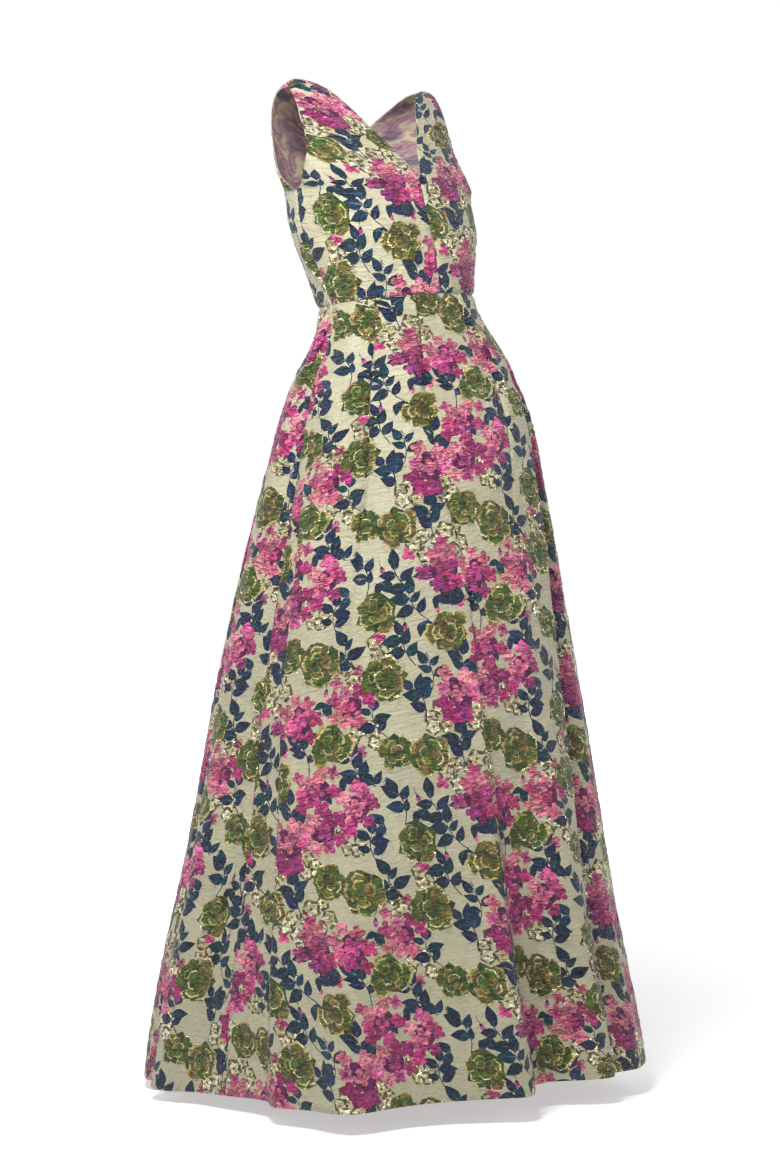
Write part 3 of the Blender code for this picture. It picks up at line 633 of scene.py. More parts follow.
def lay_flat(outer, inward, grain_column, is_flared):
    """The flat cut of a shaped panel in millimetres, seen from outside. A flared one spreads like a fan."""
    facing = np.cross(outer[1, 1] - outer[1, 0], outer[2, 1] - outer[1, 1])
    if np.dot(facing, inward[1, 1]) > 0:
        outer = outer[:, ::-1]
        inward = inward[:, ::-1]
        grain_column = outer.shape[1] - 1 - grain_column
    steps = np.linalg.norm(np.diff(outer, axis=1), axis=2) * 1000
    across = np.concatenate([np.zeros((len(outer), 1)), np.cumsum(steps, axis=1)], axis=1)
    across = across - across[:, grain_column : grain_column + 1]
    climb = np.linalg.norm(np.diff(outer[:, grain_column], axis=0), axis=1) * 1000
    up = np.concatenate([[0], np.cumsum(climb)])
    if not is_flared:
        return Cut(outer, inward, across, np.repeat(up[:, None], across.shape[1], axis=1), across, up, 0)
    slope, hem_width = np.polyfit(up, across[:, -1] - across[:, 0], 1)
    apex = -hem_width / slope
    spread = (apex - up)[:, None]
    flat_x = spread * np.sin(across / spread)
    flat_y = -spread * np.cos(across / spread)
    return Cut(outer, inward, flat_x, flat_y, across, up, apex)


def on_cut(cut, x, y):
    """Where flat points lie on the panel's grid, as row and column, with the distance along the row."""
    if cut.apex:
        spread = np.hypot(x, y)
        up = cut.apex - spread
        across = np.arctan2(x, -y) * spread
    else:
        up = y
        across = x
    row = np.clip(np.interp(up, cut.up, np.arange(len(cut.up))), 0, len(cut.up) - 1.000001)
    low = row.astype(int)
    share = row - low

    def at(column):
        return cut.across[low, column] * (1 - share) + cut.across[low + 1, column] * share

    left = np.zeros(len(row), int)
    right = np.full(len(row), cut.across.shape[1] - 1)
    while (right - left).max() > 1:
        middle = (left + right) // 2
        is_left = at(middle) <= across
        left = np.where(is_left & (right - left > 1), middle, left)
        right = np.where(~is_left & (right - left > 1), middle, right)
    start, end = at(left), at(left + 1)
    column = left + np.clip((across - start) / (end - start), 0, 1)
    return row, column, across, up


def on_grid(grid, row, column):
    """Values of a grid of points read between its rows and columns."""
    low = np.clip(row.astype(int), 0, grid.shape[0] - 2)
    left = np.clip(column.astype(int), 0, grid.shape[1] - 2)
    up = (row - low)[:, None]
    right = (column - left)[:, None]
    below = grid[low, left] * (1 - right) + grid[low, left + 1] * right
    above = grid[low + 1, left] * (1 - right) + grid[low + 1, left + 1] * right
    return below * (1 - up) + above * up


def row_ends(cut, row):
    """Where the panel's left and right edges lie along its rows."""
    last = cut.across.shape[1] - 1.0
    return [on_grid(cut.across[..., None], row, np.full(len(row), column))[:, 0] for column in (0.0, last)]


def border(grid):
    """The grid's edge, once round, anticlockwise on the flat cut."""
    return np.concatenate([grid[0], grid[1:, -1], grid[-1, -2::-1], grid[-2:0:-1, 0]])


def grain_points(cut, grain):
    """Points of the grid about one grain apart, closer together where the cloth folds sharply."""
    along = unit(np.diff(cut.outer, axis=1))
    turn = np.degrees(np.arccos(np.clip((along[:, 1:] * along[:, :-1]).sum(axis=2), -1, 1)))
    turned = np.concatenate([np.zeros((len(turn), 2)), np.cumsum(turn, axis=1)], axis=1)
    keep = np.zeros(cut.across.shape, bool)
    row_step = np.floor(cut.up / grain)
    for row in range(1, len(cut.up) - 1):
        if row_step[row] == row_step[row - 1]:
            continue
        stagger = 0.5 * (row_step[row] % 2)
        by_width = np.floor(cut.across[row] / grain + stagger)
        by_fold = np.floor(turned[row] / SHARPEST + stagger)
        keep[row, 1:-1] = (np.diff(by_width)[:-1] > 0) | (np.diff(by_fold)[:-1] > 0)
    keep[:, :1] = False
    return np.stack([cut.flat_x[keep], cut.flat_y[keep]], axis=1)


def edges_of(triangles):
    """The triangles' directed edges: all the first ones, then the second and the third."""
    return np.concatenate([triangles[:, [0, 1]], triangles[:, [1, 2]], triangles[:, [2, 0]]])


def look_up(keys, values, wanted, missing):
    """The value of each wanted key, or missing."""
    order = np.argsort(keys)
    at = np.clip(np.searchsorted(keys[order], wanted), 0, len(keys) - 1)
    return np.where(keys[order][at] == wanted, values[order][at], missing)


def overlay(points, faces):
    """Flat triangles of the first face, cut along the outlines of all faces, and the last face over each."""
    found = delaunay_2d_cdt([tuple(p) for p in points], [], faces, 0, MERGE)
    flat = np.array([tuple(p) for p in found[0]])
    low = np.array([points[face].min(axis=0) for face in faces]) - MERGE
    high = np.array([points[face].max(axis=0) for face in faces]) + MERGE
    kept = [(triangle, owners) for triangle, owners in zip(found[2], found[5]) if 0 in owners]
    triangles = np.array([triangle for triangle, _ in kept])
    middles = flat[triangles].mean(axis=1)
    which = np.repeat(np.arange(len(kept)), [len(owners) for _, owners in kept])
    owner = np.array([i for _, owners in kept for i in owners])
    inside = (low[owner] < middles[which]).all(axis=1) & (middles[which] < high[owner]).all(axis=1)
    inside &= ~np.isin(owner, np.unique(owner[~inside]))
    tops = np.zeros(len(kept), int)
    np.maximum.at(tops, which[inside], owner[inside])
    return flat, triangles, tops


def triangles_inside(points, faces, grain):
    """As overlay, but only along outlines that show, with the grain's points in between."""
    flat, triangles, tops = overlay(points, faces)
    edges = edges_of(triangles)
    keys = edges[:, 0] * len(flat) + edges[:, 1]
    sides = np.tile(tops, 3)
    turned = edges[:, 1] * len(flat) + edges[:, 0]
    across = look_up(keys, sides, turned, -1)
    shows = sides != across
    rim = across == -1
    keys = np.concatenate([keys[shows], turned[rim]])
    sides = np.concatenate([sides[shows], np.full(rim.sum(), -1)])
    used = np.unique(edges[shows])
    number = np.zeros(len(flat), int)
    number[used] = np.arange(len(used))
    once = shows & (rim | (edges[:, 0] < edges[:, 1]))
    found = delaunay_2d_cdt(
        [tuple(p) for p in np.concatenate([flat[used], grain])], number[edges[once]].tolist(), [], 0, MERGE
    )
    source = np.array([used[min(o)] if o and min(o) < len(used) else -1 for o in found[3]])
    triangles = np.array(found[2])
    edges = edges_of(triangles)
    count = len(found[0])
    fixed = np.array([edge for edge, origin in zip(found[1], found[4]) if origin])
    fixed = np.unique(fixed.min(axis=1) * count + fixed.max(axis=1))
    is_fixed = np.isin(edges.min(axis=1) * count + edges.max(axis=1), fixed)
    from_first = source[edges[:, 0]] * len(flat) + source[edges[:, 1]]
    from_first[(source[edges] < 0).any(axis=1)] = -1
    told = look_up(keys, sides, from_first, -2).reshape(3, -1)
    tops = told.max(axis=0)
    keys = edges[:, 0] * count + edges[:, 1]
    turned = edges[:, 1] * count + edges[:, 0]
    twin = look_up(keys, np.tile(np.arange(len(triangles)), 3), turned, -1)
    twin[is_fixed] = -1
    twin = twin.reshape(3, -1)
    while True:
        spread = np.where(twin >= 0, tops[twin], -2).max(axis=0)
        fresh = (tops == -2) & (spread > -2)
        if not fresh.any():
            break
        tops[fresh] = spread[fresh]
    flat = np.array([tuple(p) for p in found[0]])
    triangles, tops = triangles[tops >= 0], tops[tops >= 0]
    used, renumbered = np.unique(triangles, return_inverse=True)
    return flat[used], renumbered.reshape(triangles.shape), tops


def open_edges(triangles):
    """Directed edges that only one triangle has."""
    edges = edges_of(triangles)
    both = {tuple(edge) for edge in edges.tolist()}
    return [edge for edge in edges.tolist() if (edge[1], edge[0]) not in both]


def in_order(edges):
    """The open edges' points, once round."""
    after = dict(edges)
    start = edges[0][0]
    loop = [start]
    while after[loop[-1]] != start:
        loop.append(after[loop[-1]])
    return loop


def patches_on(cut, rim, shift):
    """The patches of the drawing that lie on a panel or near its edge."""

    def is_near(place):
        if not (rim.min(axis=0) - NEAR_BY < place).all() or not (place < rim.max(axis=0) + NEAR_BY).all():
            return False
        row, _, across, up = on_cut(cut, place[:1], place[1:])
        left, right = row_ends(cut, row)
        in_row = left[0] - NEAR_BY < across[0] < right[0] + NEAR_BY
        return in_row and -NEAR_BY < up[0] < cut.up[-1] + NEAR_BY

    return drawing(rim.min(axis=0), rim.max(axis=0), shift, is_near)


def write_dyes_and_painted_shade(mesh, patches, tops, corners):
    """Gives each triangle's corners the colour and finish of the patch on top there, or of the ground."""
    hearts = np.array([GROUND] + [p.heart for p in patches])[tops][:, None]
    tips = np.array([GROUND] + [p.tip for p in patches])[tops][:, None]
    centres = np.array([(0.0, 0.0)] + [p.centre for p in patches])[tops][:, None]
    reaches = np.array([1.0] + [p.reach for p in patches])[tops][:, None]
    share = np.clip(np.linalg.norm(corners - centres, axis=2) / reaches, 0, 1)[..., None]
    colour = np.ones((len(tops), 3, 4))
    colour[..., :3] = hearts * (1 - share) + tips * share
    finish = np.zeros((len(tops), 3, 4))
    finish[..., 0] = np.array([0.0] + [p.gold for p in patches])[tops][:, None]
    finish[..., 1] = (tops > 0)[:, None]
    finish[..., 3] = 1
    # The dye attribute holds the threads' colours and the painted shade of some patches
    for label, values in (("dye", colour), ("finish", finish)):
        mesh.attributes.new(label, "FLOAT_COLOR", "CORNER").data.foreach_set("color", values.ravel())


def make_cloth(name, cut, shift, dips, grain):
    """A panel's shell. dips says how deep its left, right, bottom and top edges are drawn in, row by row."""
    rim = np.stack([border(cut.flat_x), border(cut.flat_y)], axis=1)
    patches = patches_on(cut, rim, shift)
    points = [rim]
    faces = [list(range(len(rim)))]
    count = len(rim)
    for area in patches:
        points.append(area.outline)
        faces.append(list(range(count, count + len(area.outline))))
        count += len(area.outline)
    flat, triangles, tops = triangles_inside(np.concatenate(points), faces, grain_points(cut, grain))

    row, column, across, up = on_cut(cut, flat[:, 0], flat[:, 1])
    left, right = row_ends(cut, row)
    to_edges = (across - left, right - across, up, cut.up[-1] - up)
    settle = ease(np.min(to_edges, axis=0) / FLAT_BORDER)
    sewn = np.zeros(len(row))
    for reach, dip in zip(to_edges, dips):
        depth = np.interp(row, np.arange(len(cut.up)), np.broadcast_to(dip, cut.up.shape))
        sewn += depth * np.exp(-((np.clip(reach, 0, None) / SEAM_SPREAD) ** 2))

    lifts = np.array([0.0] + [p.lift for p in patches])[tops]
    lift = np.zeros(len(flat))
    for corner in range(3):
        np.maximum.at(lift, triangles[:, corner], lifts)
    woven = np.minimum(lift, 1)
    x, y = flat.T
    crinkle = 0.26 * ripple(x, y, 15, 5.5) + 0.3 * ripple(x, y, 42, 11, 7)
    pucker = 0.62 * ripple(x, y, 9, 5.0, 21)
    rise = settle * (crinkle + woven * (0.3 + pucker + 0.9 * lift)) / 1000
    inward = unit(on_grid(cut.inward, row, column))
    outside = on_grid(cut.outer, row, column) - inward * (rise - sewn)[:, None]

    loop = in_order(open_edges(triangles))
    back_grain = grain_points(cut, grain * 2)
    back_flat, back_triangles, _ = triangles_inside(flat[loop], [list(range(len(loop)))], back_grain)
    row, column, _, _ = on_cut(cut, back_flat[:, 0], back_flat[:, 1])
    inside = on_grid(cut.outer, row, column) + unit(on_grid(cut.inward, row, column)) * SHELL
    nearest = {}
    at_place = {tuple(np.round(p, 3)): i for i, p in zip(loop, flat[loop])}
    for i, p in enumerate(back_flat):
        match = at_place.get(tuple(np.round(p, 3)))
        if match is not None:
            nearest[match] = i
            inside[i] += inward[match] * sewn[match]
    first = len(flat)
    back = back_triangles[:, ::-1] + first
    edge = []
    for a, b in open_edges(triangles):
        if a in nearest and b in nearest:
            edge += [(a, nearest[a] + first, b), (b, nearest[a] + first, nearest[b] + first)]
    all_faces = np.concatenate([triangles, back, np.array(edge)])

    mesh = bpy.data.meshes.new(name)
    mesh.from_pydata(np.concatenate([outside, inside]).tolist(), [], all_faces.tolist())
    mesh.polygons.foreach_set("material_index", [0] * len(triangles) + [1] * len(back) + [0] * len(edge))
    mesh.shade_smooth()
    corners = np.concatenate([flat, back_flat])[all_faces]
    write_dyes_and_painted_shade(mesh, patches, np.concatenate([tops, np.zeros(len(back) + len(edge), int)]), corners)
    mesh.uv_layers.new(name="cloth").data.foreach_set("uv", (corners / 1000).ravel())
    mesh.update()
    piece = bpy.data.objects.new(name, mesh)
    bpy.context.scene.collection.objects.link(piece)
    piece.data.materials.append(jacquard)
    piece.data.materials.append(reverse_side)
    return piece


def add_node(tree, kind, settings=(), **values):
    """A shader node with its settings, and values or links for its sockets by name."""
    node = tree.nodes.new(kind)
    for label, value in settings:
        setattr(node, label, value)
    for label, value in values.items():
        name = label.replace("_", " ")
        socket = next(s for s in node.inputs if s.name.lower() == name and s.enabled)
        if isinstance(value, bpy.types.NodeSocket):
            tree.links.new(value, socket)
        else:
            socket.default_value = value
    return node


def ripples(tree, place, wide, tall, detail, warp):
    """Noise stretched sideways: about wide by tall metres for each wave."""
    stretched = add_node(tree, "ShaderNodeMapping", vector=place, scale=(1 / wide, 1 / tall, 1))
    wave = add_node(
        tree, "ShaderNodeTexNoise", (("noise_dimensions", "2D"),),
        vector=stretched.outputs[0], scale=1.0, detail=detail, roughness=0.55, distortion=warp,
    )
    return wave.outputs["Fac"]


def math_node(tree, operation, first, second):
    """One step of arithmetic on two values or links."""
    node = tree.nodes.new("ShaderNodeMath")
    node.operation = operation
    for socket, value in zip(node.inputs, (first, second)):
        if isinstance(value, bpy.types.NodeSocket):
            tree.links.new(value, socket)
        else:
            socket.default_value = value
    return node.outputs[0]


def new_material(name):
    """A material, with its node tree and its main shader."""
    material = bpy.data.materials.new(name)
    material.use_nodes = True
    return material, material.node_tree, material.node_tree.nodes["Principled BSDF"]


def add_bump(tree, shader, strength, distance, height):
    """Makes the surface look raised by height, in shares of distance."""
    bump = add_node(tree, "ShaderNodeBump", strength=strength, distance=distance, height=height)
    tree.links.new(bump.outputs[0], shader.inputs["Normal"])


def add_colour(tree, shader, colour, scale):
    """Gives the shader a colour made lighter or darker by scale."""
    shaded = add_node(tree, "ShaderNodeVectorMath", (("operation", "SCALE"),), vector=colour, scale=scale)
    tree.links.new(shaded.outputs[0], shader.inputs["Base Color"])


def map_range(tree, value, from_min, from_max, to_min, to_max):
    """A value carried evenly from one range to another, and held at its ends."""
    return add_node(
        tree, "ShaderNodeMapRange", value=value,
        from_min=from_min, from_max=from_max, to_min=to_min, to_max=to_max,
    ).outputs[0]


# The face: dyed threads with fine crosswise floats, deep puckers in the woven areas and glints of gold thread
jacquard, tree, shader = new_material("jacquard_face")
flat_place = add_node(tree, "ShaderNodeUVMap", (("uv_map", "cloth"),)).outputs[0]
# The corners' colours: the threads' dyes, and painted shade in the dark bases under flower heads and peonies
# and at the florets' petal tips
dyes_and_painted_shade = add_node(tree, "ShaderNodeAttribute", (("attribute_name", "dye"),)).outputs["Color"]
finish = add_node(tree, "ShaderNodeAttribute", (("attribute_name", "finish"),)).outputs["Color"]
parts = add_node(tree, "ShaderNodeSeparateColor", color=finish)
gold, woven = parts.outputs[0], parts.outputs[1]
crinkle = ripples(tree, flat_place, 0.018, 0.0050, 2.0, 0.6)
pucker = ripples(tree, flat_place, 0.0130, 0.0058, 1.5, 1.2)
floats = ripples(tree, flat_place, 0.0080, 0.0012, 2.0, 0.3)
broad = ripples(tree, flat_place, 0.10, 0.07, 2.0, 0.0)
soft_crinkle = math_node(tree, "MULTIPLY", crinkle, 0.5)
folded = math_node(tree, "SUBTRACT", math_node(tree, "MULTIPLY", pucker, 3.4), soft_crinkle)
relief = math_node(tree, "ADD", soft_crinkle, math_node(tree, "MULTIPLY", folded, woven))
relief = math_node(tree, "ADD", relief, math_node(tree, "MULTIPLY", floats, 0.1))
add_bump(tree, shader, 1.0, 0.0060, relief)
streak = map_range(tree, floats, 0.25, 0.75, 0.85, 1.13)
patchy = map_range(tree, broad, 0.3, 0.7, 0.93, 1.05)
# Painted shade and highlight: the woven areas' colour is darker in the puckers' hollows and lighter on their
# tops
painted_pucker_shade = map_range(tree, pucker, 0.36, 0.56, 0.48, 1.36)
woven_painted_shade = add_node(tree, "ShaderNodeMix", (("data_type", "FLOAT"),), factor=woven)
woven_painted_shade.inputs[2].default_value = 1.0
tree.links.new(painted_pucker_shade, woven_painted_shade.inputs[3])
# The colour is scaled by the broad random tone, the thread floats and the painted pucker shade and highlight
uneven = math_node(tree, "MULTIPLY", patchy, woven_painted_shade.outputs[0])
threads_and_painted_shade = math_node(tree, "MULTIPLY", streak, uneven)
add_colour(tree, shader, dyes_and_painted_shade, threads_and_painted_shade)
glint = map_range(tree, pucker, 0.42, 0.6, 0.15, 1.0)
lame = math_node(tree, "MULTIPLY", glint, math_node(tree, "MULTIPLY", gold, 0.7))
tree.links.new(lame, shader.inputs["Metallic"])
rough = map_range(tree, lame, 0.0, 0.7, 0.5, 0.24)
tree.links.new(rough, shader.inputs["Roughness"])
shader.inputs["Specular IOR Level"].default_value = 0.45
shader.inputs["Sheen Weight"].default_value = 0.08
shader.inputs["Sheen Roughness"].default_value = 0.4

# The reverse, which shows inside the neck: loose threads of all the colours, blurred into each other
reverse_side, tree, shader = new_material("jacquard_reverse")
flat_place = add_node(tree, "ShaderNodeUVMap", (("uv_map", "cloth"),)).outputs[0]
threads = ripples(tree, flat_place, 0.018, 0.0016, 3.0, 0.4)
blots = ripples(tree, flat_place, 0.034, 0.030, 2.0, 0.8)
mix = tree.nodes.new("ShaderNodeValToRGB")
mix.color_ramp.elements[0].position = 0.36
mix.color_ramp.elements[0].color = (*dye(92, 90, 104), 1)
mix.color_ramp.elements[1].position = 0.62
mix.color_ramp.elements[1].color = (*dye(186, 178, 146), 1)
mix.color_ramp.elements.new(0.48).color = (*dye(158, 118, 130), 1)
broad_tone = math_node(tree, "MULTIPLY", blots, 0.7)
fine_tone = math_node(tree, "MULTIPLY", threads, 0.3)
tree.links.new(math_node(tree, "ADD", broad_tone, fine_tone), mix.inputs[0])
tree.links.new(mix.outputs[0], shader.inputs["Base Color"])
add_bump(tree, shader, 0.6, 0.0010, threads)
shader.inputs["Roughness"].default_value = 0.75


# Each panel's rows, which way it faces, the wearer's side, where the repeat starts on it, and its flat size
# and area. The grain is how far apart the mesh's own points lie, in millimetres on the flat cloth.
BODICE_GRAIN = 5.5
panels = (
    ("bodice_front_right", FRONT_ROWS, FRONT_CORNERS, 1, -1, (37, 150), (0.212, 0.392), 0.058),
    ("bodice_front_left", FRONT_ROWS, FRONT_CORNERS, 1, 1, (150, 20), (0.212, 0.392), 0.058),
    ("bodice_back_right", BACK_ROWS, BACK_CORNERS, -1, -1, (90, 260), (0.205, 0.421), 0.061),
    ("bodice_back_left", BACK_ROWS, BACK_CORNERS, -1, 1, (210, 90), (0.205, 0.421), 0.061),
)
for name, rows, corners, facing, hand, shift, _, _ in panels:
    grid, inner = bodice_panel(rows, corners, facing > 0)
    inward = unit(inner - grid)
    sink = drag(grid)
    if facing > 0:
        sink = sink + dart_dip(grid, hand)
    grid = grid + inward * sink[..., None]
    outer = lean_back(grid, hand, facing)
    turned = unit(lean_back(grid + inward * INWARD_STEP, hand, facing) - outer)
    cut = lay_flat(outer, turned, 0, False)
    table = panel_rows(rows, corners)
    centre_dip = (table[:, 1] == 0) * SEAM_DIP
    side_dip = (np.abs(table[:, 6]) < 1e-9) * SEAM_DIP
    centre_is_left = hand * facing > 0
    sides = (centre_dip, side_dip) if centre_is_left else (side_dip, centre_dip)
    piece = make_cloth(name + "_cloth", cut, shift, (*sides, SEAM_DIP, SEAM_DIP), BODICE_GRAIN)
    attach(piece, "gown")
    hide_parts(name)
for name, _, _, facing, hand, _, flat_size, flat_area in panels:
    held_by = "bodice_back" if facing > 0 else "bodice_front"
    held_by += "_left" if hand > 0 else "_right"


# Skirt. One front from side seam to side seam and two backs, flared, with pleats pressed in at the waist seam
# that open into long soft folds. The hem is turned in by hand, so no stitching shows.
HEM_DROP = 1.139
HEM_DIP = 0.0002
SKIRT_GRAIN = 9.5

# How closely the grid is set: widest and narrowest turn between columns, where columns run along each edge
# of a fold, in shares of the edge's width, and the distance between rows
MOST_TURN = 0.5
LEAST_TURN = 0.2
FOLD_SHARES = (-0.7, 0, 0.5, 1)
ROW_STEP = 0.0072

# Rings of the skirt before its folds, by how far they lie below the waist
Ring = namedtuple("Ring", "drop half_width front back side forward")
RINGS = (
    Ring(0.000, 0.119, 0.106, 0.101, 0.000, 0.000),
    Ring(0.022, 0.123, 0.111, 0.105, 0.001, 0.001),
    Ring(0.045, 0.132, 0.119, 0.113, 0.003, 0.002),
    Ring(0.068, 0.145, 0.131, 0.124, 0.004, 0.003),
    Ring(0.092, 0.160, 0.147, 0.139, 0.004, 0.003),
    Ring(0.122, 0.173, 0.161, 0.151, 0.004, 0.003),
    Ring(0.150, 0.183, 0.172, 0.162, 0.005, 0.003),
    Ring(0.180, 0.193, 0.184, 0.173, 0.006, 0.004),
    Ring(0.215, 0.201, 0.194, 0.184, 0.006, 0.005),
    Ring(0.255, 0.209, 0.204, 0.195, 0.005, 0.004),
    Ring(0.300, 0.218, 0.215, 0.207, 0.004, 0.003),
    Ring(0.360, 0.230, 0.229, 0.223, 0.003, 0.002),
    Ring(0.440, 0.245, 0.245, 0.240, 0.001, 0.001),
    Ring(0.520, 0.260, 0.260, 0.257, 0.000, 0.000),
    Ring(0.630, 0.279, 0.279, 0.277, 0.000, 0.000),
    Ring(0.730, 0.295, 0.295, 0.294, 0.000, 0.000),
    Ring(0.850, 0.315, 0.315, 0.315, -0.003, 0.000),
    Ring(0.970, 0.338, 0.338, 0.338, -0.004, -0.002),
    Ring(1.050, 0.353, 0.353, 0.353, -0.003, -0.001),
    Ring(1.139, 0.366, 0.366, 0.366, -0.001, -0.001),
)

# Recesses between the raised pleats. Angles go from centre front towards the wearer's right. The cloth falls
# in at the near edge, over its width, and comes out again at the far edge, over the far width. Each column
# has one value for every drop in FOLD_DROPS, and depth is in millimetres.
FOLD_DROPS = (0.00, 0.02, 0.12, 0.24, 0.40, 0.60, 0.85, 1.14)
Recess = namedtuple("Recess", "name near near_width far far_width depth")
RECESSES = (
    Recess(
        "centre_front",
        near=(21, 21.5, 26, 25, 16, 13, 10, 8),
        near_width=(2, 2, 2.5, 4, 4, 5, 9, 18),
        far=(-21, -21.5, -23, -18, -11, -11, -17, -28),
        far_width=(3, 3, 4, 8, 8, 8, 10, 13),
        depth=(0.4, 3.5, 5.5, 3, 7, 16, 42, 90),
    ),
    Recess(
        "front_right",
        near=(48.5, 48.5, 49, 49, 50, 52, 54, 54),
        near_width=(2, 2, 2, 2, 3, 3, 3, 3),
        far=(69, 69, 68, 66, 64, 62, 61, 60),
        far_width=(12, 12, 12, 9, 7, 5, 3, 2),
        depth=(0.4, 3.5, 7, 6, 3.5, 0, 0, 0),
    ),
    Recess(
        "side_right",
        near=(81, 81, 80, 78.5, 76, 74, 70, 65),
        near_width=(3, 3, 3, 3, 3, 4, 5, 9),
        far=(99, 99, 101, 103, 105, 107, 109, 112),
        far_width=(3, 3, 6, 9, 12, 13, 13, 12),
        depth=(0.4, 3.5, 12, 18, 22, 26, 32, 40),
    ),
    Recess(
        "back_right",
        near=(131, 131, 130, 129, 128, 127, 127, 128),
        near_width=(3, 3, 3, 3, 4, 5, 7, 9),
        far=(113, 113, 113, 112, 112, 111, 112, 114),
        far_width=(8, 8, 8, 8, 8, 7, 6, 4),
        depth=(0.4, 3.5, 8, 10, 12, 14, 20, 30),
    ),
    Recess(
        "centre_back",
        near=(159, 159, 160, 161, 161, 160, 158, 156),
        near_width=(3, 3, 3, 4, 5, 6, 7, 9),
        far=(201, 201, 200, 198, 199, 201, 203, 206),
        far_width=(3, 3, 4, 5, 6, 8, 9, 10),
        depth=(0.4, 3.5, 7, 9, 12, 16, 22, 34),
    ),
    Recess(
        "back_left",
        near=(229, 229, 228, 227, 226, 225, 224, 222),
        near_width=(3, 3, 3, 3, 4, 5, 6, 8),
        far=(246, 246, 246, 247, 248, 249, 250, 251),
        far_width=(8, 8, 8, 9, 10, 11, 12, 13),
        depth=(0.4, 3.5, 9, 13, 16, 18, 24, 36),
    ),
    Recess(
        "side_left",
        near=(279, 279, 280, 281, 283, 285, 287, 290),
        near_width=(3, 3, 3, 3, 3, 4, 5, 7),
        far=(261, 261, 260, 259, 258, 258, 258, 258),
        far_width=(3, 3, 5, 7, 9, 10, 11, 11),
        depth=(0.4, 3.5, 9, 13, 15, 18, 22, 30),
    ),
    Recess(
        "front_left",
        near=(311, 312, 322, 327, 331, 334, 334, 331),
        near_width=(3, 3, 3, 3, 3, 3, 3, 3),
        far=(293, 294, 306, 312, 316, 319, 318, 316),
        far_width=(8, 8, 10, 11, 11, 11, 11, 10),
        depth=(0.4, 4, 20, 28, 30, 28, 26, 30),
    ),
)

# Broad swells of the lower skirt, by the same drops and angles, in millimetres outwards
Swell = namedtuple("Swell", "name turn spread rise")
SWELLS = (
    Swell("front_lobe", 47, 8, (0, 0, 0, 0, 0, 0, 12, 46)),
    Swell("front_flat", 24, 19, (0, 0, 0, 0, 0, -4, -16, -38)),
    Swell("side_hollow", 84, 17, (0, 0, 0, 0, 0, -3, -10, -22)),
    Swell("left_hollow", 333, 6, (0, 0, 0, 0, 0, -3, -10, -20)),
    Swell("left_lobe", 302, 12, (0, 0, 0, 0, 0, 1, 3, 6)),
    Swell("back_lobe_right", 142, 11, (0, 0, 0, 0, 0, 3, 8, 16)),
    Swell("back_lobe_left", 214, 9, (0, 0, 0, 0, 0, 2, 8, 18)),
    Swell("side_lobe_left", 256, 9, (0, 0, 0, 0, 0, 2, 6, 12)),
)


def of_fold(column, drop):
    """A recess's or swell's values, read at any drop."""
    return smooth(drop, FOLD_DROPS, column)


def recess_depth(recess, turn, drop):
    """How far a recess takes the cloth inwards, for angles near it."""
    near = of_fold(recess.near, drop)
    far = of_fold(recess.far, drop)
    way = 1 if recess.far[0] > recess.near[0] else -1
    fall = ease(way * (turn - near) / of_fold(recess.near_width, drop))
    climb = ease(1 - way * (far - turn) / of_fold(recess.far_width, drop))
    return np.clip(of_fold(recess.depth, drop), 0, None) / 1000 * (fall - climb)


def nearest_turn(turn, middle):
    """The same direction as turn, within half a circle of middle."""
    return middle + (turn - middle + 180) % 360 - 180


def skirt_point(turn, drop):
    """Outer points of the skirt as (side, forward, height), for arrays of angles and drops of one shape."""
    out = np.zeros_like(turn)
    for recess in RECESSES:
        middle = (recess.near[0] + recess.far[0]) / 2
        out -= recess_depth(recess, nearest_turn(turn, middle), drop)
    for swell in SWELLS:
        away = (nearest_turn(turn, swell.turn) - swell.turn) / swell.spread
        out += of_fold(swell.rise, drop) / 1000 * np.exp(-(away**2))
    drops = [ring.drop for ring in RINGS]
    half_width, front, back, side, forward = (
        smooth(drop, drops, [getattr(ring, column) for ring in RINGS])
        for column in ("half_width", "front", "back", "side", "forward")
    )
    ahead = np.cos(np.radians(turn))
    depth = np.where(ahead > 0, front, back)
    return np.stack(
        [side - (half_width + out) * np.sin(np.radians(turn)), forward + (depth + out) * ahead, -drop],
        axis=-1,
    )


def key_turns(drop, start, end):
    """The angles that a panel's columns must keep at each drop: its seams and the edges of its folds."""
    keys = []
    for recess in RECESSES:
        for turn_of, width_of, outwards in (
            (recess.near, recess.near_width, 1),
            (recess.far, recess.far_width, -1),
        ):
            edge = of_fold(turn_of, drop)
            width = of_fold(width_of, drop)
            way = outwards if recess.far[0] > recess.near[0] else -outwards
            for share in FOLD_SHARES:
                keys.append(edge + way * share * width)
    keys = np.array(keys)
    mean = keys.mean(axis=1)
    keys = keys + (nearest_turn(mean, (start + end) / 2) - mean)[:, None]
    inside = (keys.mean(axis=1) > start) & (keys.mean(axis=1) < end)
    keys = keys[inside]
    return keys[np.argsort(keys[:, 0])].T


